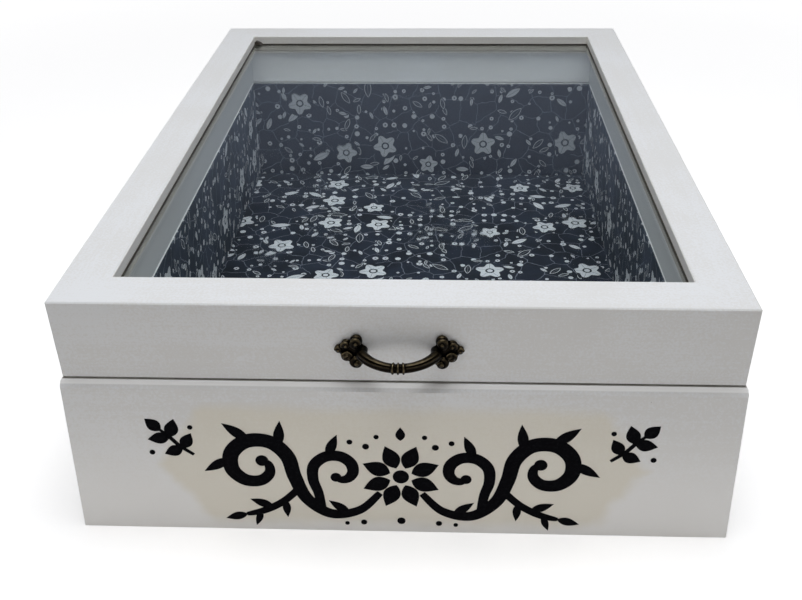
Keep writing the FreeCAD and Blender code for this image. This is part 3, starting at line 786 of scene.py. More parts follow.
@dataclass(frozen=True)
class BarePlywood(Finish):
    """Birch plywood without paint, seen on the underside."""

    dullness: Pair = (0.55, 0.75)
    relief: Pair = (0.1, 0.5)
    light: Colour = (0.70, 0.54, 0.36)
    dark: Colour = (0.52, 0.37, 0.22)
    figure_limits: Pair = (0.38, 0.62)
    pore_limits: Pair = (0.60, 0.75)
    grain: Point = (0.6, 0.02, 0.6)
    pores: Point = (5.0, 0.25, 5.0)
    figure_scale: float = 0.015
    grain_share: float = 0.7
    pore_share: float = 0.35

    def tones(self, place: Value) -> tuple[Value | Colour, Value]:
        """Long grain with pores and cloudy figure.

        Args:
            place: The place on the box, in millimetres.

        Returns:
            The colour and the height.
        """
        grain = place.drawn(self.grain).noise(1.0, detail=6.0, roughness=0.62)
        pores = place.drawn(self.pores).noise(1.0).fade(*self.pore_limits)
        figure = grain.weighed(place.noise(self.figure_scale, detail=3.0), self.grain_share)
        colour = place.bench.mix(figure.fade(*self.figure_limits), self.light, self.dark)
        return place.bench.mix(pores * self.pore_share, colour, self.dark), grain


@dataclass(frozen=True)
class TwoTone(Finish):
    """Two colours that follow one cloudy or streaky noise, from the first to the second at its limits."""

    first: Colour = (0.0, 0.0, 0.0)
    second: Colour = (1.0, 1.0, 1.0)
    limits: Pair = (0.35, 0.65)
    stretch: Point = (1.0, 1.0, 1.0)
    scale: float = 1.0
    roughness: float = 0.5

    def tones(self, place: Value) -> tuple[Value | Colour, Value]:
        """The colour by the noise at a place in millimetres, and the noise itself as the height."""
        grain = place.drawn(self.stretch).noise(self.scale, 4.0, self.roughness)
        return place.bench.mix(grain.fade(*self.limits), self.first, self.second), grain


@dataclass(frozen=True)
class LiningPaper(Finish):
    """Printed paper, pale motifs on dark navy, lying along two axes of the box."""

    dullness: Pair = (0.66, 0.82)
    relief: Pair = (0.03, 0.4)
    gloss: float = 0.15
    sheet: Sheet = Sheet.FLOOR
    shift: Point = (-130.0, 200.0, 0.0)
    ground: Colour = (0.011, 0.015, 0.028)
    washed: Colour = (0.019, 0.025, 0.042)
    stem: Colour = (0.17, 0.19, 0.24)
    stem_share: float = 0.8
    pale: Colour = (0.40, 0.42, 0.445)
    ink_scale: float = 0.05
    ink_limits: Pair = (0.35, 0.65)
    tooth_scale: float = 3.5

    def tones(self, place: Value) -> tuple[Value | Colour, Value]:
        """The print, a little uneven in its ink, on paper with a fine tooth.

        Args:
            place: The place on the box, in millimetres.

        Returns:
            The colour and the height.
        """
        bench, parts = place.bench, place.parts()
        flat = bench.join(*(parts[axis] for axis in self.sheet.value)).moved(self.shift)
        pale, stems = GardenPrint.place(bench, Vector=flat)
        ink = place.noise(self.ink_scale, detail=4.0).fade(*self.ink_limits)
        colour = bench.mix(stems * self.stem_share, bench.mix(ink, self.ground, self.washed), self.stem)
        return bench.mix(pale, colour, self.pale), place.noise(self.tooth_scale, detail=3.0)


@dataclass(frozen=True)
class WindowGlass(Finish):
    """Clear float glass that lets the light through to the room below."""

    dullness: Pair = (0.0, 0.05)
    tint: Colour = (0.93, 0.955, 0.95)
    smear_scale: float = 0.03
    smear_limits: Pair = (0.45, 0.8)
    extras: ClassVar[dict[str, float]] = {"Transmission_Weight": 1.0, "IOR": 1.45}

    def tones(self, place: Value) -> tuple[Value | Colour, Value]:
        """A faint tint, and a trace of smears that dull it, as the height."""
        smears = place.noise(self.smear_scale, detail=5.0, roughness=0.6)
        return self.tint, smears.fade(*self.smear_limits)

    def surface(self, shader: Value) -> Value:
        """Glass to the eye, and a clear pane to the light that falls through it.

        Args:
            shader: The material's shader.

        Returns:
            What the surface shows.
        """
        bench = shader.bench
        clear = bench.op("ShaderNodeBsdfTransparent", Color=self.tint)
        return bench.fill(bench.node("ShaderNodeMixShader"), (bench.ray("Shadow"), shader, clear))


@dataclass(frozen=True)
class AgedMetal(Finish):
    """Metal that is dark in its hollows and worn bright where hands touch it; where a piece's attribute also
    holds painted top light, faces that look up are brighter.
    """

    dullness: Pair = (0.26, 0.44)
    relief: Pair = (0.05, 0.45)
    hollow: Colour = (0.0020, 0.0016, 0.0012)
    body: Colour = (0.0065, 0.005, 0.0033)
    wear_and_shading: Colour = (0.145, 0.115, 0.067)
    rub_and_top_light: str = ""
    hollow_limits: Pair = (0.15, 0.50)
    crest_limits: Pair = (0.52, 0.85)
    crest_wear: Pair = (0.45, 1.0)
    scratch: Point = (1.0, 0.06, 1.0)
    extras: ClassVar[dict[str, float]] = {"Metallic": 1.0}

    def tones(self, place: Value) -> tuple[Value | Colour, Value]:
        """Patina, with painted top light, by the piece's own attribute where it has one, else by wear alone.

        Args:
            place: The place on the box, in millimetres.

        Returns:
            The colour and the height.
        """
        bench = place.bench
        height, wear = WornMetal.place(bench, Vector=place, Scratch=self.scratch)
        colour, wear_and_shading = self.body, wear
        if self.rub_and_top_light:
            crest = bench.op("ShaderNodeAttribute", "Fac", {"attribute_name": self.rub_and_top_light})
            colour = bench.mix(crest.fade(*self.hollow_limits), self.hollow, self.body)
            wear_and_shading = crest.fade(*self.crest_limits) * wear.spread(*self.crest_wear)
        return bench.mix(wear_and_shading, colour, self.wear_and_shading), height


@dataclass(frozen=True)
class FloorWhite(Finish):
    """A white sweep that keeps the box's shadow and meets a white background."""

    dullness: float = 1.0
    gloss: float = 0.0
    warm: Colour = (0.98, 0.96, 0.94)
    pale: Colour = (1.0, 0.98, 0.96)
    near: Colour = (0.32, 0.325, 0.33)
    far: Colour = (1.0, 1.0, 1.0)
    reach: Pair = (0.2, 1.4)
    grain_scale: float = 0.01

    def tones(self, place: Value) -> tuple[Value | Colour, Value]:
        """Dull white that is hardly uneven, and its grain as the height."""
        grain = place.noise(self.grain_scale)
        return place.bench.mix(grain, self.warm, self.pale), grain

    def surface(self, shader: Value) -> Value:
        """The eye sees it a little lighter than the light that it gives back.

        Args:
            shader: The material's shader.

        Returns:
            What the surface shows.
        """
        bench = shader.bench
        away = bench.op("ShaderNodeTexCoord", "Object").length()
        colour = bench.mix(away.fade(*self.reach), self.near, self.far)
        glow = bench.op("ShaderNodeEmission", Color=bench.mix(bench.seen(), (0.0, 0.0, 0.0), colour))
        return bench.fill(bench.node("ShaderNodeAddShader"), (shader, glow))


PAINT_ACROSS = WhitePaint("paint_across")
PAINT_DEEP = WhitePaint("paint_deep", stroke=Stroke.DEEP)
PAINT_FRONT = WhitePaint("paint_front", tints=(BoardEdges(), CreamPatch()))
PAINT_LID_ACROSS = WhitePaint("paint_lid_across", tints=(WindowFrame(),))
# The side boards' lip tint is a painted highlight and their wall tint is painted shade, for how the light
# falls on faces that look sideways.
PAINT_LID_DEEP = WhitePaint("paint_lid_deep", stroke=Stroke.DEEP, tints=(
    WindowFrame(lip=(0.97, 0.955, 0.91), lip_share=1.2, wall_shade_share=1.0),))
# Painted shade: grey-brown wood, darkened for the shade in the rabbet under the lip; the side beads are
# lighter, as painted light.
BEAD_ACROSS = TwoTone("bead_painted_shade_across", (0.5, 0.7), (0.06, 0.5), first=(0.20, 0.19, 0.165),
                      second=(0.30, 0.285, 0.25), stretch=(0.15, 0.15, 2.0))
BEAD_DEEP = replace(BEAD_ACROSS, name="bead_painted_shade_deep", first=(0.36, 0.34, 0.30), second=(0.48, 0.46, 0.41))
# Near-black sealant; on the glazing seal its colour also paints the shadow line between lip and glass.
SEALANT = TwoTone("sealant_and_shadow_line", (0.35, 0.6), (0.1, 0.6), first=(0.022, 0.017, 0.012),
                  second=(0.05, 0.04, 0.028), limits=(0.4, 0.7), scale=0.25)
BLACK = TwoTone("stencil_black", (0.60, 0.80), (0.05, 0.5), gloss=0.02, first=(0.0022, 0.0022, 0.0032),
                second=(0.007, 0.007, 0.009), limits=(0.45, 0.75), scale=0.8, roughness=0.6)
PLYWOOD = BarePlywood("plywood_bare")
# The floor's and side walls' copies of the one paper are retoned for the light on each face: painted shade in
# the floor's darker ground, and painted light in the side walls' lighter ground and motifs and in the floor's
# lighter motifs.
PAPER_FLOOR = LiningPaper("paper_floor", ground=(0.004, 0.006, 0.012),
                          washed=(0.010, 0.014, 0.026), pale=(0.45, 0.47, 0.495))
PAPER_CROSS = LiningPaper("paper_cross", sheet=Sheet.CROSS_WALL)
PAPER_SIDE = LiningPaper("paper_side_painted_light", sheet=Sheet.SIDE_WALL, ground=(0.026, 0.034, 0.052),
                         washed=(0.046, 0.058, 0.086), stem=(0.26, 0.29, 0.35), pale=(0.60, 0.625, 0.66))
GLASS = WindowGlass("glass_clear")
BRONZE = AgedMetal("bronze_antique", rub_and_top_light="rub_and_top_light")
BRONZE_SCREW = AgedMetal("bronze_screw", body=(0.012, 0.0095, 0.0065), wear_and_shading=(0.05, 0.04, 0.025))
BRASS = AgedMetal("brass_satin", body=(0.52, 0.37, 0.155), wear_and_shading=(0.74, 0.56, 0.28),
                  dullness=(0.22, 0.40), scratch=(0.05, 1.0, 1.0))
BRASS_SCREW = AgedMetal("brass_screw", body=(0.46, 0.34, 0.15), wear_and_shading=(0.70, 0.55, 0.30),
                        dullness=(0.2, 0.36))


# --------------------------------------------------------------------------------------------------
# Meshes
# --------------------------------------------------------------------------------------------------

def dress(node: str, finish: Finish) -> None:
    """Give a CAD node a finish.

    Args:
        node: The node's name.
        finish: What it is finished in.
    """
    material = finish.build()
    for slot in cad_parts[node].material_slots:
        slot.material = material
    LOG.info("%s: %s", node, finish.name)


def add_object(name: str, data: bpy.types.ID) -> bpy.types.Object:
    """Put a mesh, a light or a camera in the scene.

    Args:
        name: The name of its object.
        data: The mesh, light or camera.

    Returns:
        The object.
    """
    made = bpy.data.objects.new(name, data)
    bpy.context.collection.objects.link(made)
    return made


def place_piece(name: str, mesh: bpy.types.Mesh, body: Body,
                stands_for: Sequence[str] = ()) -> None:
    """Put a finished piece in the scene, on its body.

    Args:
        name: The piece's name.
        mesh: Its mesh, in place and in metres.
        body: The body that it rides on.
        stands_for: The CAD nodes that it replaces.
    """
    piece = add_object(name, mesh)
    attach(piece, body.value)
    if stands_for:
        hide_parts(*stands_for)
    LOG.info("%s: %d faces on %s", name, len(mesh.polygons), body.value)


def finished_mesh(name: str, shape: bmesh.types.BMesh, finish: Finish) -> bpy.types.Mesh:
    """Turn an edited shape into a mesh with one finish.

    Args:
        name: The mesh's name.
        shape: The shape, which is freed.
        finish: What it is finished in.

    Returns:
        The mesh.
    """
    mesh = bpy.data.meshes.new(name)
    shape.to_mesh(mesh)
    shape.free()
    mesh.materials.append(finish.build())
    return mesh


def evaluated_mesh(piece: bpy.types.Object, name: str) -> bpy.types.Mesh:
    """The mesh that a piece's modifiers make; the piece itself is removed.

    Args:
        piece: An object with live modifiers.
        name: The name of the new mesh.

    Returns:
        A plain mesh.
    """
    graph = bpy.context.evaluated_depsgraph_get()
    graph.update()
    made = bpy.data.meshes.new_from_object(piece.evaluated_get(graph), depsgraph=graph)
    made.name = name
    piece.modifiers.clear()
    bpy.data.objects.remove(piece)
    return made


def seat_mesh(name: str, places: Sequence[Point], **values: Sequence[float | Point]) -> bpy.types.Mesh:
    """A mesh of loose vertices that repeats stand on.

    Args:
        name: The mesh's name.
        places: One point for each repeat, in metres.
        values: Attributes, with one number or one vector for each repeat.

    Returns:
        The mesh.
    """
    made = bpy.data.meshes.new(name)
    made.from_pydata(list(places), [], [])
    for key, entries in values.items():
        kind, field = ("FLOAT_VECTOR", "vector") if np.ndim(entries) == 2 else ("FLOAT", "value")
        numbers = np.array(entries, dtype=np.float32).ravel()
        made.attributes.new(key, kind, "POINT").data.foreach_set(field, numbers)
    return made


class GeometryTree(Bench):
    """A Geometry Nodes tree that turns a plain mesh of seats into a finished piece."""

    def __init__(self, name: str, finish: Finish, **sizes: float) -> None:
        """Start a tree.

        Args:
            name: The tree's name.
            finish: What its faces are finished in.
            sizes: Values of its inputs by name, in metres, with underscores for spaces.
        """
        super().__init__(bpy.data.node_groups.new(name, "GeometryNodeTree"))
        self.finish = finish
        face = self.tree.interface
        for way in ("INPUT", "OUTPUT"):
            face.new_socket("Geometry", in_out=way, socket_type="NodeSocketGeometry")
        self.values = {}
        for size, value in sizes.items():
            socket = face.new_socket(size.replace("_", " "), in_out="INPUT", socket_type=FLOAT)
            self.values[socket.identifier] = value
        self.start = self.node("NodeGroupInput")

    def given(self, name: str) -> Value:
        """The tree's own input of a name."""
        return Value(self, self.start.outputs[name])

    def attribute(self, name: str, kind: str = "FLOAT") -> Value:
        """An attribute of the seats, of a data type."""
        return self.op("GeometryNodeInputNamedAttribute", "Attribute", {"data_type": kind}, Name=name)

    def turned(self) -> Value:
        """How each seat is turned, by its attribute "turn"."""
        return self.op("FunctionNodeEulerToRotation", Euler=self.attribute("turn", "FLOAT_VECTOR"))

    def together(self, *shapes: Value) -> Value:
        """Several shapes as one geometry.

        Args:
            shapes: The shapes.

        Returns:
            The geometry.
        """
        made = self.node("GeometryNodeJoinGeometry")
        for shape in shapes:
            self.feed(made.inputs[0], shape)
        return Value(self, made.outputs[0])

    def end(self, geometry: Value) -> None:
        """End the tree in real faces with their material.

        Args:
            geometry: What it has made.
        """
        real = self.op("GeometryNodeRealizeInstances", Geometry=geometry)
        dressed = self.op("GeometryNodeSetMaterial", Geometry=real, Material=self.finish.build())
        self.node("NodeGroupOutput", Geometry=dressed)

    def run(self, seats: bpy.types.Mesh) -> bpy.types.Mesh:
        """Run the tree on a mesh of seats.

        Args:
            seats: One vertex for each repeat, with the attributes that the tree reads.

        Returns:
            The finished mesh.
        """
        holder = add_object(f"{self.tree.name}_seats", seats)
        modifier = holder.modifiers.new(self.tree.name, "NODES")
        modifier.node_group = self.tree
        for key, value in self.values.items():
            modifier[key] = value
        return evaluated_mesh(holder, self.tree.name)


# --------------------------------------------------------------------------------------------------
# Painted carcass, lining and glazed lid
# --------------------------------------------------------------------------------------------------

Coats = tuple[tuple[Finish, tuple[str, ...]], ...]


@dataclass
class DressedPart:
    """A part of the box whose CAD nodes keep their shapes; each coat is a finish and its nodes."""

    coats: Coats

    def build(self) -> None:
        """Finish every node of the part."""
        for finish, nodes in self.coats:
            for node in nodes:
                dress(node, finish)


CARCASS = DressedPart((
    (PAINT_FRONT, ("base_front_board",)),
    (PAINT_ACROSS, ("base_back_board",)),
    (PAINT_DEEP, ("base_left_board", "base_right_board")),
    (PLYWOOD, ("base_floor_panel",)),
))
LINING = DressedPart((
    (PAPER_FLOOR, ("lining_floor",)),
    (PAPER_CROSS, ("lining_front", "lining_back")),
    (PAPER_SIDE, ("lining_left", "lining_right")),
))


@dataclass
class GlazedLid(DressedPart):
    """The lid: four painted boards, the pane in its seal, the beads that hold it, and a dab of sealant."""

    coats: Coats = (
        (PAINT_LID_ACROSS, ("lid_front_board", "lid_back_board")),
        (PAINT_LID_DEEP, ("lid_left_board", "lid_right_board")),
        (BEAD_ACROSS, ("glass_bead_front", "glass_bead_back")),
        (BEAD_DEEP, ("glass_bead_left", "glass_bead_right")),
        (GLASS, ("glass_pane",)),
        (SEALANT, ("glazing_seal",)),
    )
    dab: Point = (-103.6, 155.2, 97.2)
    dab_size: Point = (3.0, 1.3, 1.9)
    corner: Point = (-105.98, 155.98, 96.52)
    # The size of each ripple of the dab, and its waves along x, y and z.
    ripples: tuple[tuple[float, Point], ...] = ((0.12, (4.0, 0.0, 2.0)), (0.08, (0.0, -3.0, 7.0)))
    slump: float = 0.45

    def dab_mesh(self) -> bpy.types.Mesh:
        """A dab of sealant squeezed out on the glass, in the far left corner of the window.

        Returns:
            The mesh, in metres.
        """
        shape = bmesh.new()
        bmesh.ops.create_icosphere(shape, subdivisions=4, radius=1.0)
        for vertex in shape.verts:
            x, y, z = vertex.co
            swell = 1.0 + sum(size * math.sin(vertex.co.dot(wave)) for size, wave in self.ripples)
            shares = (x, y, z * (1.0 - self.slump * x))
            spot = [middle + size * share * swell
                    for middle, size, share in zip(self.dab, self.dab_size, shares)]
            vertex.co = Vector((max(spot[0], self.corner[0]), min(spot[1], self.corner[1]),
                                max(spot[2], self.corner[2]))) * MM
        mesh = finished_mesh("sealant_dab", shape, SEALANT)
        mesh.shade_smooth()
        return mesh

    def build(self) -> None:
        """Add the dab, and finish the lid's nodes."""
        place_piece("sealant_dab", self.dab_mesh(), Body.LID)
        super().build()


# --------------------------------------------------------------------------------------------------
# Screws and hinges
# --------------------------------------------------------------------------------------------------

@dataclass
class ScrewSet:
    """Slotted screws, repeated on their seats by Geometry Nodes. Sizes are in millimetres.

    A screw stands on its seat with its head along +z: from the seat upwards for a domed head, and
    from the seat down for a sunk one, whose height is negative.
    """

    name: str
    finish: Finish
    head_radius: float
    head_height: float
    head_top: float
    shank_radius: float
    length: float
    slot_width: float = 0.5
    slot_reach: float = 3.0
    slot_depth: float = 0.45
    slot_turn: float = 0.0

    def tree(self) -> GeometryTree:
        """The Geometry Nodes tree of the set.

        Returns:
            The tree.
        """
        sunk = self.head_height < 0
        top = 0.0 if sunk else self.head_height
        wide, narrow = self.head_radius * MM, self.head_radius * self.head_top * MM
        tree = GeometryTree(
            self.name, self.finish, Head_Foot=narrow if sunk else wide, Head_Top=wide if sunk else narrow,
            Head_Height=abs(self.head_height) * MM, Shank_Radius=self.shank_radius * MM,
            Length=self.length * MM, Slot_Width=self.slot_width * MM, Slot_Depth=self.slot_depth * MM)
        head = tree.op("GeometryNodeMeshCone", Vertices=40, Radius_Top=tree.given("Head Top"),
                       Radius_Bottom=tree.given("Head Foot"), Depth=tree.given("Head Height"))
        head = tree.op("GeometryNodeTransform", Geometry=head,
                       Translation=(0.0, 0.0, (top - abs(self.head_height)) * MM))
        slot = tree.op("GeometryNodeMeshCube",
                       Size=tree.join(self.slot_reach * wide, tree.given("Slot Width"),
                                      tree.given("Slot Depth") * 2.0))
        slot = tree.op("GeometryNodeTransform", Geometry=slot, Translation=(0.0, 0.0, top * MM),
                       Rotation=(0.0, 0.0, self.slot_turn))
        slotted = tree.op("GeometryNodeMeshBoolean", "Mesh", {"operation": "DIFFERENCE"},
                          Mesh_1=head, Mesh_2=slot)
        shank = tree.op("GeometryNodeMeshCylinder", Vertices=24, Radius=tree.given("Shank Radius"),
                        Depth=tree.given("Length"))
        drop = tree.given("Length") * -0.5
        if sunk:
            drop = drop - tree.given("Head Height")
        shank = tree.op("GeometryNodeTransform", Geometry=shank, Translation=tree.join(z=drop))
        tree.end(tree.op("GeometryNodeInstanceOnPoints", Points=tree.given("Geometry"),
                         Instance=tree.together(slotted, shank), Rotation=tree.turned()))
        return tree

    def drive(self, piece: str, body: Body, node: str, seats: Sequence[Point],
              turns: Sequence[Point]) -> None:
        """Drive the screws as one piece in a CAD node's stead, on seats in metres, with turns in radians."""
        mesh = self.tree().run(seat_mesh(f"{self.name}_seats", seats, turn=turns))
        place_piece(piece, mesh, body, [node])


@dataclass
class HingePair(DressedPart):
    """Two brass butt hinges and the countersunk screws that hold them. Sizes are in millimetres."""

    coats: Coats = ((BRASS, tuple(f"hinge_{side}_{part}" for side in ("left", "right")
                                  for part in ("base_leaf", "lid_leaf", "pin"))),)
    spread: float = 160.0
    spacing: float = 14.0
    line: float = 166.4
    base_face: float = 68.0
    lid_face: float = 69.0

    def screws(self, body: Body, face: float, tilt: float, seed: int) -> None:
        """Drive the four screws of one body's leaves.

        Args:
            body: The body that the leaves are on.
            face: The height of the leaves' faces.
            tilt: How far the screws are turned over, in radians.
            seed: Seed of how their slots are turned.
        """
        dice = random.Random(seed)
        seats, turns = [], []
        for side in Side:
            for end in Side:
                x = (side.value * self.spread + end.value * self.spacing) / 2
                seats.append((x * MM, self.line * MM, face * MM))
                turns.append((tilt, 0.0, dice.uniform(0, math.pi)))
        node = f"{body.value}_hinge_screws"
        sunk = ScrewSet(f"{node}_slotted", BRASS_SCREW, head_radius=1.77, head_height=-0.95, head_top=0.54,
                        shank_radius=0.9, length=7.0)
        sunk.drive(f"{node}_slotted", body, node, seats, turns)

    def build(self) -> None:
        """Finish the leaves and pins, and drive the screws."""
        super().build()
        self.screws(Body.BASE, self.base_face, tilt=0.0, seed=7)
        self.screws(Body.LID, self.lid_face, tilt=math.pi, seed=11)


# --------------------------------------------------------------------------------------------------
# Bow pull
# --------------------------------------------------------------------------------------------------

@dataclass(frozen=True)
class Scroll:
    """A rolled-up end of the casting, in the pull's own frame, in millimetres.

    Its heart lies out and up from the post. Its tube winds inwards from a reach, through some turns
    from a start in degrees, and stands off the lid; it may be stretched upwards. The ball at its
    foot fills the room behind it.
    """

    out: float
    up: float
    reach: float
    tube: float
    turns: float
    start: float
    stand: float
    stretch: float = 1.0
    tighten: float = 0.75
    taper: float = 0.4
    rise: float = 0.5
    end_ball: float = 0.95
    foot_back: float = 0.35
    foot_depth: float = 0.75
    foot_swell: float = 0.6


@dataclass
class BowPull:
    """The cast bow pull: a grooved bow with three collars between two clusters of scrolls.

    In its own frame x runs along it, z up and -y out of the lid; its sizes are in millimetres.
    """

    span: float = 26.4
    reach: float = 10.6
    post_reach: float = 3.2
    post_radius: float = 2.0
    bow_radius: float = 1.72
    bow_root: float = 2.05
    groove: float = 0.30
    # The middle and half width of each groove, in degrees round the bow, and its share of the depth.
    grooves: tuple[Point, ...] = ((80.0, 13.0, 1.0), (42.0, 8.0, 0.55), (138.0, 10.0, 0.55))
    collar_radius: float = 2.2
    collar_width: float = 0.42
    collar_pitch: float = 1.8
    collar_round: float = 0.35
    boss_out: float = 5.4
    boss_up: float = -1.7
    boss_radius: float = 2.3
    boss_height: float = 2.2
    boss_round: float = 0.14
    plate: float = 1.3
    plate_radius: float = 4.9
    plate_out: float = 4.0
    plate_up: float = 0.3
    plate_height: float = 0.85
    voxel: float = 0.17
    smooth_rounds: int = 3
    rub_rounds: int = 14
    rub_span: float = 0.15
    # A base and a share by how far each point faces up: painted top light on the casting's wear.
    top_light_weights: Pair = (0.68, 0.32)
    # The lid's front leans in by 2.6 mm over its height of 33 mm.
    lean: float = math.atan(2.6 / 33.0)
    place: Point = (0.0, -173.503, 83.0)
    scrolls: tuple[Scroll, ...] = (
        Scroll(2.0, 4.4, 1.75, 0.85, 1.35, -70.0, 2.0, 1.12),
        Scroll(1.9, -4.2, 2.05, 1.00, 1.15, 70.0, 1.9, 0.95),
        Scroll(5.7, 2.8, 1.45, 0.70, 1.0, -20.0, 1.3),
        Scroll(8.5, 0.5, 1.00, 0.62, 0.9, 10.0, 1.0, 1.35),
    )

    @property
    def arc_radius(self) -> float:
        """Radius of the bow's middle line, in millimetres."""
        rise = self.reach - self.post_reach
        return ((self.span / 2) ** 2 + rise ** 2) / (2 * rise)

    @property
    def frame(self) -> Matrix:
        """From the pull's own frame, in millimetres, to the box's, in metres."""
        seat = Matrix.Translation(self.place) @ Matrix.Rotation(self.lean, 4, "X")
        return Matrix.Scale(MM, 4) @ seat

    def tube(self, shape: bmesh.types.BMesh, path: Sequence[Vector], radius: Callable[[float], float],
             up: Point = (0.0, 0.0, 1.0), section: Callable[[float], float] = lambda angle: 1.0,
             sides: int = 40) -> None:
        """Sweep a closed tube along a path.

        Args:
            shape: The shape to add to.
            path: Points of the middle line.
            radius: Radius by the share of the path, 0 to 1.
            up: The direction that angles round the section start from.
            section: Factor on the radius, by the angle round the section.
            sides: Corners of the section.
        """
        rings = []
        last = len(path) - 1
        for index, point in enumerate(path):
            along = (path[min(index + 1, last)] - path[max(index - 1, 0)]).normalized()
            aside = along.cross(Vector(up)).normalized()
            lift = aside.cross(along)
            size = radius(index / last)
            ring = []
            for step in range(sides):
                angle = math.tau * step / sides
                offset = (lift * math.cos(angle) + aside * math.sin(angle)) * size * section(angle)
                ring.append(shape.verts.new(point + offset))
            rings.append(ring)
        for first, second in zip(rings, rings[1:]):
            for corners in zip(first, first[1:] + first[:1], second[1:] + second[:1], second):
                shape.faces.new(corners)
        for ring in (rings[0], rings[-1]):
            shape.faces.new(ring)

    def ball(self, shape: bmesh.types.BMesh, centre: Point, radius: float,
             scale: Point = (1.0, 1.0, 1.0)) -> None:
        """Add a ball, drawn out where a scale is given."""
        matrix = Matrix.Translation(centre) @ Matrix.Diagonal((*scale, 1.0))
        bmesh.ops.create_icosphere(shape, subdivisions=4, radius=radius, matrix=matrix)

    def bow_arc(self, middle: float, half: float, steps: int) -> list[Vector]:
        """Part of the bow's middle line, by angles from the middle of the bow.

        Args:
            middle: The angle of its middle, in radians.
            half: Half the angle that it spans, in radians.
            steps: How many parts it is drawn in.

        Returns:
            The points of the line.
        """
        angles = [middle + half * (2 * step / steps - 1) for step in range(steps + 1)]
        return [Vector((self.arc_radius * math.sin(angle),
                        self.arc_radius - self.reach - self.arc_radius * math.cos(angle), 0.0))
                for angle in angles]

    def column(self, x: float, z: float, height: float, steps: int) -> list[Vector]:
        """Points of a straight line out of the lid, from its face."""
        return [Vector((x, -height * step / steps, z)) for step in range(steps + 1)]

    def section(self, angle: float) -> float:
        """The bow's section: round, with grooves that run its length.

        Args:
            angle: The angle round the section, in radians.

        Returns:
            The factor on the bow's radius.
        """
        factor = 1.0
        for middle, width, share in self.grooves:
            gap = (math.degrees(angle) - middle) / width
            factor -= self.groove / self.bow_radius * share * math.exp(-gap ** 2)
        return factor

    def add_bow(self, shape: bmesh.types.BMesh) -> None:
        """The bow, thicker at its roots, and its three collars.

        Args:
            shape: The shape to add to.
        """
        root = self.bow_root - self.bow_radius
        path = self.bow_arc(0.0, math.asin(self.span / 2 / self.arc_radius), steps=96)
        self.tube(shape, path, lambda share: self.bow_radius + root * abs(2 * share - 1) ** 1.5,
                  section=self.section, sides=72)
        for number in (-1, 0, 1):
            path = self.bow_arc(number * self.collar_pitch / self.arc_radius,
                                self.collar_width / self.arc_radius, steps=12)
            self.tube(shape, path,
                      lambda share: self.collar_radius * (1 - self.collar_round * (2 * share - 1) ** 4))

    def add_scroll(self, shape: bmesh.types.BMesh, side: Side, scroll: Scroll, steps: int = 72) -> None:
        """A tube rolled up on itself, with a ball at its heart.

        Args:
            shape: The shape to add to.
            side: The end of the pull.
            scroll: The scroll.
            steps: How many parts it is drawn in.
        """
        heart = Vector((side.value * (self.span / 2 + scroll.out), 0.0, scroll.up))
        path = []
        for step in range(steps + 1):
            share = step / steps
            turn = math.tau * scroll.turns * share * math.copysign(1, scroll.up)
            angle = math.radians(scroll.start) + turn
            radius = scroll.reach * (1 - share) ** scroll.tighten
            forward = scroll.stand + scroll.rise * scroll.reach * share
            path.append(heart + Vector((side.value * radius * math.cos(angle), -forward,
                                        radius * scroll.stretch * math.sin(angle))))
        self.tube(shape, path, lambda share: scroll.tube * (1 - scroll.taper * share),
                  (0.0, 1.0, 0.0), sides=24)
        for spot, size in ((path[0], scroll.tube), (path[-1], scroll.end_ball * scroll.tube)):
            self.ball(shape, spot, size)
        foot = (heart.x, -scroll.foot_back * scroll.stand, heart.z)
        self.ball(shape, foot, scroll.reach + scroll.foot_swell * scroll.tube,
                  (1.0, scroll.foot_depth * scroll.stand / scroll.reach, scroll.stretch))

    def add_cluster(self, shape: bmesh.types.BMesh, side: Side) -> None:
        """The scrolls, the post and the screw boss at one end.

        Args:
            shape: The shape to add to.
            side: The end of the pull.
        """
        post = side.value * self.span / 2
        for depth in (0.0, self.post_reach):
            self.ball(shape, (post, -depth, 0.0), self.post_radius)
        self.tube(shape, self.column(post, 0.0, self.post_reach, steps=4), lambda share: self.post_radius)
        for scroll in self.scrolls:
            self.add_scroll(shape, side, scroll)
        boss = self.column(post + side.value * self.boss_out, self.boss_up, self.boss_height, steps=6)
        self.tube(shape, boss, lambda share: self.boss_radius * (1 - self.boss_round * share ** 4))
        self.ball(shape, (post + side.value * self.plate_out, 0.0, self.plate_up), self.plate_radius,
                  (1.0, self.plate / self.plate_radius, self.plate_height))

    def skin(self, shape: bmesh.types.BMesh) -> bpy.types.Mesh:
        """One skin round all that the casting is made of.

        Args:
            shape: The tubes and balls, which are freed.

        Returns:
            The mesh, in millimetres.
        """
        bmesh.ops.recalc_face_normals(shape, faces=shape.faces[:])
        holder = add_object("bow_pull_rough", finished_mesh("bow_pull_rough", shape, BRONZE))
        remesh = holder.modifiers.new("skin", "REMESH")
        remesh.mode = "VOXEL"
        remesh.voxel_size = self.voxel
        smooth = holder.modifiers.new("smooth", "SMOOTH")
        smooth.factor = 0.5
        smooth.iterations = self.smooth_rounds
        return evaluated_mesh(holder, "bow_pull")

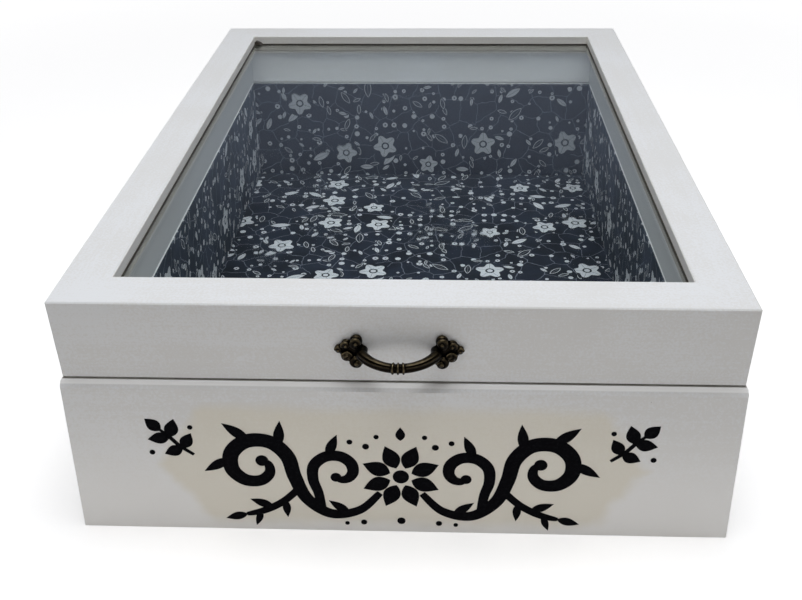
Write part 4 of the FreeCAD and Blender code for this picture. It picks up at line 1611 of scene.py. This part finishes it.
    def store_rub_and_top_light(self, mesh: bpy.types.Mesh) -> None:
        """Store, as an attribute, how far each point stands out from its surroundings, with more where the
        surface faces up, as painted top light.

        Args:
            mesh: The casting, in millimetres.
        """
        count = len(mesh.vertices)
        places, normals = np.empty((2, count * 3))
        mesh.vertices.foreach_get("co", places)
        mesh.vertices.foreach_get("normal", normals)
        places, normals = places.reshape(-1, 3), normals.reshape(-1, 3)
        pairs = np.empty(len(mesh.edges) * 2, dtype=np.int64)
        mesh.edges.foreach_get("vertices", pairs)
        first, second = pairs.reshape(-1, 2).T
        weights = np.bincount(pairs, minlength=count)[:, None].clip(1)
        spread = places.copy()
        for _ in range(self.rub_rounds):
            totals = [np.bincount(first, spread[second, axis], count)
                      + np.bincount(second, spread[first, axis], count) for axis in range(3)]
            spread = np.stack(totals, axis=1) / weights
        rise = ((places - spread) * normals).sum(axis=1)
        # Painted top light: faces that look up get more of the bright colour.
        painted_top_light = self.top_light_weights[0] + self.top_light_weights[1] * normals[:, 2]
        values = np.clip(0.5 + rise / (2 * self.rub_span), 0.0, 1.0) * painted_top_light
        mesh.attributes.new("rub_and_top_light", "FLOAT", "POINT").data.foreach_set("value", values.astype(np.float32))

    def trim(self, mesh: bpy.types.Mesh) -> None:
        """Cut the casting flat where it sits on the lid.

        Args:
            mesh: The casting, in millimetres.
        """
        shape = bmesh.new()
        shape.from_mesh(mesh)
        cut = bmesh.ops.bisect_plane(shape, geom=shape.verts[:] + shape.edges[:] + shape.faces[:],
                                     plane_co=(0, 0, 0), plane_no=(0, 1, 0), clear_outer=True)
        edges = [item for item in cut["geom_cut"] if isinstance(item, bmesh.types.BMEdge)]
        bmesh.ops.holes_fill(shape, edges=edges, sides=0)
        bmesh.ops.triangulate(shape, faces=[face for face in shape.faces if len(face.verts) > 4])
        shape.to_mesh(mesh)
        shape.free()

    def cast(self) -> bpy.types.Mesh:
        """The casting as one skin, in place.

        Returns:
            The mesh, with its "rub" attribute.
        """
        shape = bmesh.new()
        self.add_bow(shape)
        for side in Side:
            self.add_cluster(shape, side)
        mesh = self.skin(shape)
        self.store_rub_and_top_light(mesh)
        self.trim(mesh)
        mesh.transform(self.frame)
        mesh.shade_smooth()
        return mesh

    def build(self) -> None:
        """Cast the pull and put in its two screws."""
        place_piece("bow_pull", self.cast(), Body.LID, ["pull_handle"])
        outs = [side.value * (self.span / 2 + self.boss_out) for side in Side]
        seats = [tuple(self.frame @ Vector((out, -self.boss_height, self.boss_up))) for out in outs]
        screws = ScrewSet("pull_screws", BRONZE_SCREW, head_radius=1.6, head_height=0.8, head_top=0.62,
                          shank_radius=0.95, length=12.0, slot_turn=0.6)
        turns = [(math.pi / 2 + self.lean, 0.0, 0.0)] * len(seats)
        screws.drive("pull_screws", Body.LID, "handle_screws", seats, turns)


# --------------------------------------------------------------------------------------------------
# Stencilled artwork
# --------------------------------------------------------------------------------------------------

def curl(centre: Pair, angles: Pair, radii: Pair, tighten: float, steps: int) -> tuple[Pair, ...]:
    """Points of a curl that winds round a centre and tightens towards its end.

    Args:
        centre: Its centre, as (x, z) in millimetres.
        angles: Where it starts and ends, in degrees.
        radii: Its radius at the start and at the end, in millimetres.
        tighten: How late it tightens; 1 is even.
        steps: How many parts it is drawn in.

    Returns:
        The points, as (x, z) in millimetres.
    """
    points = []
    for step in range(steps + 1):
        share = step / steps
        angle = math.radians(angles[0] + (angles[1] - angles[0]) * share)
        radius = radii[0] + (radii[1] - radii[0]) * share ** tighten
        points.append((centre[0] + radius * math.cos(angle), centre[1] + radius * math.sin(angle)))
    return tuple(points)


@dataclass(frozen=True)
class Stem:
    """A painted stroke through some points, given as (x, z) in millimetres, and its widths."""

    points: tuple[Pair, ...]
    start_width: float
    middle_width: float
    end_width: float
    swell: float = 0.8

    def line(self, steps: int = 14) -> list[Pair]:
        """A smooth line through the points.

        Args:
            steps: How many parts each stretch is drawn in.

        Returns:
            The points of the line.
        """
        guide = [self.points[0], *self.points, self.points[-1]]
        result = []
        for stretch in zip(guide, guide[1:], guide[2:], guide[3:]):
            for step in range(steps):
                t = step / steps
                result.append(tuple(
                    0.5 * (2 * b + (c - a) * t + (2 * a - 5 * b + 4 * c - d) * t ** 2
                           + (3 * b - a - 3 * c + d) * t ** 3) for a, b, c, d in zip(*stretch)))
        result.append(self.points[-1])
        return result

    def width(self, share: float) -> float:
        """The stroke's width at a share of its length, thickest at its middle."""
        ends = self.start_width + (self.end_width - self.start_width) * share
        return ends + (self.middle_width - ends) * math.sin(math.pi * share) ** self.swell


@dataclass(frozen=True)
class Leaf:
    """A leaf, petal or berry of the artwork, as (x, z), length and width in millimetres."""

    place: Pair
    angle: float
    length: float
    width: float
    berry: bool = False

    def mirrored(self) -> "Leaf":
        """The same leaf on the other side of the box."""
        return Leaf((-self.place[0], self.place[1]), 180.0 - self.angle, self.length, self.width, self.berry)


def berry(x: float, z: float, size: float) -> Leaf:
    """A round berry at a place."""
    return Leaf((x, z), 0.0, size, size, True)


@dataclass
class VineArt:
    """A bold black vine, mirrored about a blossom, and a small sprig at either side.

    Places are (x, z) on the front, in millimetres. Each stem's leaves are given by their share of
    its line, their side (1 is left, -1 right, 0 straight on) and their length. The sprig's leaves
    are given by their place from its middle, angle, length and width, and berries by place and size.
    """

    face: float = -175.0
    thickness: float = 0.10
    sunk: float = 0.02
    heart: Pair = (0.0, 27.0)
    petals: int = 8
    petal_foot: float = 4.4
    petal_size: Pair = (11.0, 6.6)
    eye: float = 6.2
    bud: Leaf = Leaf((0.0, 44.0), 90.0, 6.0, 3.6)
    leaf_angle: float = 52.0
    leaf_width: float = 0.46
    leaf_round: float = 0.82
    leaf_least: float = 0.02
    sprig: Pair = (85.0, 42.0)
    main: Stem = Stem(((8.0, 19.0), (16.0, 10.5), (27.0, 8.5), (36.0, 15.5), (40.3, 26.0))
                      + curl((54.5, 31.5), (160.0, -225.0), (12.6, 3.0), 1.5, 9), 2.6, 6.2, 2.2)
    branch: Stem = Stem(((30.5, 10.5), (31.6, 18.5))
                        + curl((23.8, 28.5), (-20.0, 290.0), (10.2, 2.4), 1.2, 8), 3.4, 4.8, 2.0)
    spray: Stem = Stem(((39.0, 20.5), (45.5, 14.0), (53.0, 9.5), (60.0, 7.5)), 3.2, 3.2, 1.4)
    twig: Stem = Stem(((78.0, 36.0), (83.0, 40.0), (86.5, 44.0), (90.0, 47.5)), 1.2, 1.6, 1.0)
    main_leaves: tuple[Point, ...] = ((0.10, 1, 8.0), (0.40, 1, 9.0), (0.49, 1, 9.5), (0.60, 1, 9.0))
    branch_leaves: tuple[Point, ...] = ((0.42, -1, 8.5),)
    spray_leaves: tuple[Point, ...] = ((0.30, -1, 7.0), (0.50, 1, 8.0), (0.72, -1, 6.0), (0.98, 0, 8.0))
    sprig_leaves: tuple[tuple[float, ...], ...] = (
        (4.6, 5.0, 44.0, 7.6, 5.2), (1.5, 2.0, 105.0, 8.6, 5.4), (1.5, 2.0, -8.0, 8.4, 5.2),
        (-3.0, -3.0, 118.0, 7.8, 5.0), (-3.0, -3.0, -22.0, 7.6, 5.0))
    berries: tuple[Point, ...] = (
        (93.8, 36.8, 2.2), (78.4, 48.6, 2.0), (*main.points[-1], 5.0), (*branch.points[-1], 4.2),
        (13.0, 41.0, 2.6), (9.0, 45.5, 2.0), (19.0, 43.0, 2.2), (14.5, 4.5, 2.4), (21.0, 3.9, 1.8))
    middle_berry: Point = (0.0, 5.5, 3.2)

    def stem_leaves(self) -> list[Leaf]:
        """The leaves along the stems on the right.

        Returns:
            The leaves.
        """
        made = []
        for stem, spots in ((self.main, self.main_leaves), (self.branch, self.branch_leaves),
                            (self.spray, self.spray_leaves)):
            line = stem.line()
            for share, side, length in spots:
                index = min(int(share * (len(line) - 1)), len(line) - 2)
                (x0, z0), (x1, z1) = line[index], line[index + 1]
                heading = math.degrees(math.atan2(z1 - z0, x1 - x0)) + self.leaf_angle * side
                reach = length + stem.width(share) / 2
                made.append(Leaf((x0, z0), heading, reach, self.leaf_width * length))
        return made

    def leaves(self) -> list[Leaf]:
        """The leaves, petals and berries on the right.

        Returns:
            The leaves, without their mirror images.
        """
        x, z = self.sprig
        sprig = [Leaf((x + across, z + up), *shape) for across, up, *shape in self.sprig_leaves]
        return self.stem_leaves() + sprig + [berry(*spot) for spot in self.berries]

    def blossom(self) -> list[Leaf]:
        """The blossom in the middle: petals round an eye, with a bud above.

        Returns:
            The petals, the eye, the bud and the berry below.
        """
        x, z = self.heart
        made = []
        for step in range(self.petals):
            angle = 360.0 * (step + 0.5) / self.petals
            turn = math.radians(angle)
            foot = (x + self.petal_foot * math.cos(turn), z + self.petal_foot * math.sin(turn))
            made.append(Leaf(foot, angle, *self.petal_size))
        return made + [berry(x, z, self.eye), self.bud, berry(*self.middle_berry)]

    def paint_stem(self, shape: bmesh.types.BMesh, stem: Stem, factor: float, mirror: float) -> None:
        """Lay a stroke on the front.

        Args:
            shape: The shape to add to.
            stem: The stroke.
            factor: How much it stands out, as a factor on the thickness of the paint.
            mirror: 1, or -1 for its mirror image.
        """
        line = stem.line()
        last = len(line) - 1
        depths = (self.face + self.sunk, self.face - self.thickness * factor)
        rows = []
        for index, (x, z) in enumerate(line):
            (x0, z0), (x1, z1) = line[max(index - 1, 0)], line[min(index + 1, last)]
            heading = math.atan2(z1 - z0, x1 - x0)
            half = stem.width(index / last) / 2
            aside = (-math.sin(heading) * half, math.cos(heading) * half)
            spots = [(mirror * (x + aside[0] * hand), depth, z + aside[1] * hand)
                     for hand in (-1, 1) for depth in depths]
            rows.append([shape.verts.new(Vector(spot) * MM) for spot in spots])
        # The corners of a row, in their order round the stroke.
        loop = (0, 1, 3, 2)
        for first, second in zip(rows, rows[1:]):
            for here, there in zip(loop, loop[1:] + loop[:1]):
                shape.faces.new((first[here], first[there], second[there], second[here]))
        for row in (rows[0], rows[-1]):
            shape.faces.new([row[corner] for corner in loop])

    def stem_mesh(self) -> bpy.types.Mesh:
        """All the stems as one mesh, each standing out by its own factor.

        Returns:
            The mesh, in metres.
        """
        shape = bmesh.new()
        for stem, factor in ((self.main, 1.2), (self.branch, 1.0), (self.spray, 0.9), (self.twig, 1.0)):
            for mirror in (1.0, -1.0):
                self.paint_stem(shape, stem, factor, mirror)
        bmesh.ops.recalc_face_normals(shape, faces=shape.faces[:])
        return finished_mesh("vine_stems", shape, BLACK)

    def leaf_tree(self) -> GeometryTree:
        """The Geometry Nodes tree that lays leaves and berries on their seats.

        Returns:
            The tree.
        """
        tree = GeometryTree("vine_leaves", BLACK, Thickness=self.thickness * MM)
        upright = (math.pi / 2, 0.0, 0.0)
        x, y, _ = tree.op("GeometryNodeInputPosition").parts()
        share = x + 0.5
        bulge = tree.math("SINE", tree.math("POWER", share, self.leaf_round) * math.pi)
        outline = bulge.larger(self.leaf_least)
        blade = tree.op("GeometryNodeMeshGrid", Size_X=1.0, Size_Y=1.0, Vertices_X=17, Vertices_Y=3)
        blade = tree.op("GeometryNodeSetPosition", Geometry=blade, Position=tree.join(share, y * outline))
        disc = tree.op("GeometryNodeMeshCircle", 0, {"fill_type": "NGON"}, Vertices=28, Radius=0.5)
        turn, scale = tree.turned(), tree.attribute("scale", "FLOAT_VECTOR")
        is_berry = tree.attribute("berry")
        laid = [tree.op("GeometryNodeInstanceOnPoints", Selection=chosen, Points=tree.given("Geometry"),
                        Instance=tree.op("GeometryNodeTransform", Geometry=flat, Rotation=upright),
                        Rotation=turn, Scale=scale)
                for flat, chosen in ((blade, is_berry < 0.5), (disc, is_berry > 0.5))]
        faces = tree.op("GeometryNodeRealizeInstances", Geometry=tree.together(*laid))
        offset = tree.join(y=tree.given("Thickness") * -1.0)
        tree.end(tree.op("GeometryNodeExtrudeMesh", "Mesh", Mesh=faces, Offset=offset, Offset_Scale=1.0,
                         Individual=False))
        return tree

    def leaf_mesh(self) -> bpy.types.Mesh:
        """All the leaves, petals and berries as one mesh.

        Returns:
            The mesh, in metres.
        """
        right = self.leaves()
        every = self.blossom() + right + [leaf.mirrored() for leaf in right]
        seats = seat_mesh("vine_leaf_seats",
                          [(leaf.place[0] * MM, self.face * MM, leaf.place[1] * MM) for leaf in every],
                          berry=[float(leaf.berry) for leaf in every],
                          turn=[(0.0, -math.radians(leaf.angle), 0.0) for leaf in every],
                          scale=[(leaf.length * MM, 1.0, leaf.width * MM) for leaf in every])
        return self.leaf_tree().run(seats)

    def build(self) -> None:
        """Paint the stems and leaves on the front of the box."""
        place_piece("vine_stems", self.stem_mesh(), Body.BASE)
        place_piece("vine_leaves", self.leaf_mesh(), Body.BASE)


# --------------------------------------------------------------------------------------------------
# Studio
# --------------------------------------------------------------------------------------------------

@dataclass(frozen=True)
class Lamp:
    """A soft rectangular lamp, aimed at the box."""

    name: str
    place: Point
    target: Point
    size: Pair
    power: float
    colour: Colour

    def build(self) -> None:
        """Hang the lamp."""
        light = bpy.data.lights.new(self.name, "AREA")
        light.shape = "RECTANGLE"
        light.size, light.size_y = self.size
        light.energy = self.power
        light.color = self.colour
        made = add_object(self.name, light)
        made.location = self.place
        made.rotation_euler = (Vector(self.target) - made.location).to_track_quat("-Z", "Y").to_euler()


@dataclass
class Studio:
    """The white sweep, the lamps and the camera."""

    floor_half: float = 6.0
    backdrop: Pair = (0.14, 0.10)
    before: Colour = (0.105, 0.10, 0.093)
    behind: Colour = (0.04, 0.045, 0.05)
    behind_limits: Pair = (0.36, 0.46)
    horizon: Colour = (0.14, 0.16, 0.205)
    rear_limits: Pair = (-0.2, 0.3)
    lamps: tuple[Lamp, ...] = (
        Lamp("overhead", (0.02, -0.11, 0.95), (-0.02, -0.05, 0.1), (0.8, 0.8), 8.5, (0.985, 1.0, 1.03)),
        Lamp("foot_strip", (-0.03, -0.30, 0.012), (-0.03, -0.17, 0.015), (0.40, 0.02), 0.014,
             (1.0, 0.95, 0.88)),
    )
    camera_place: Point = (0.01496931, -0.48265639, 0.28757991)
    camera_turn: Point = (64.5266, 0.6366, 2.2364)
    lens: float = 46.307
    camera_shift: float = -0.11845

    def add_floor(self) -> None:
        """Lay the sweep under the box."""
        half = self.floor_half
        mesh = bpy.data.meshes.new("sweep")
        mesh.from_pydata([(-half, -half, 0), (half, -half, 0), (half, half, 0), (-half, half, 0)], [],
                         [(0, 1, 2, 3)])
        mesh.materials.append(FloorWhite("floor_white").build())
        add_object("sweep", mesh)

    def add_sky(self) -> None:
        """A dim room with a white backdrop all round its foot; the eye sees white everywhere."""
        world = bpy.data.worlds.new("studio")
        world.use_nodes = True
        world.node_tree.nodes.clear()
        bench = Bench(world.node_tree)
        _, away, rise = bench.op("ShaderNodeTexCoord", "Generated").parts()
        rear = bench.mix(rise.fade(*self.behind_limits), self.horizon, self.behind)
        room = bench.mix(away.fade(*self.rear_limits), self.before, rear)
        white = bench.ray("Camera").larger(bench.seen() * rise.fade(*self.backdrop))
        light = bench.op("ShaderNodeBackground", Color=bench.mix(white, room, (1.0, 1.0, 1.0)))
        bench.node("ShaderNodeOutputWorld", Surface=light)
        bpy.context.scene.world = world

    def add_camera(self) -> None:
        """Stand the camera before and above the box."""
        data = bpy.data.cameras.new("camera")
        data.sensor_fit = "HORIZONTAL"
        data.sensor_width = 36.0
        data.lens = self.lens
        data.shift_y = self.camera_shift
        data.clip_start = 0.01
        camera = add_object("camera", data)
        camera.location = self.camera_place
        camera.rotation_euler = Euler([math.radians(angle) for angle in self.camera_turn])
        bpy.context.scene.camera = camera

    def build(self) -> None:
        """Set up the studio."""
        self.add_floor()
        self.add_sky()
        for lamp in self.lamps:
            lamp.build()
        self.add_camera()
        bpy.context.scene.view_settings.view_transform = "Standard"


def main() -> None:
    """Build and dress the box."""
    logging.basicConfig(level=logging.INFO, format="%(name)s: %(message)s")
    for part in (CARCASS, LINING, GlazedLid(), BowPull(), HingePair(), VineArt(), Studio()):
        part.build()
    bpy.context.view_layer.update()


if __name__ == "__main__":
    main()
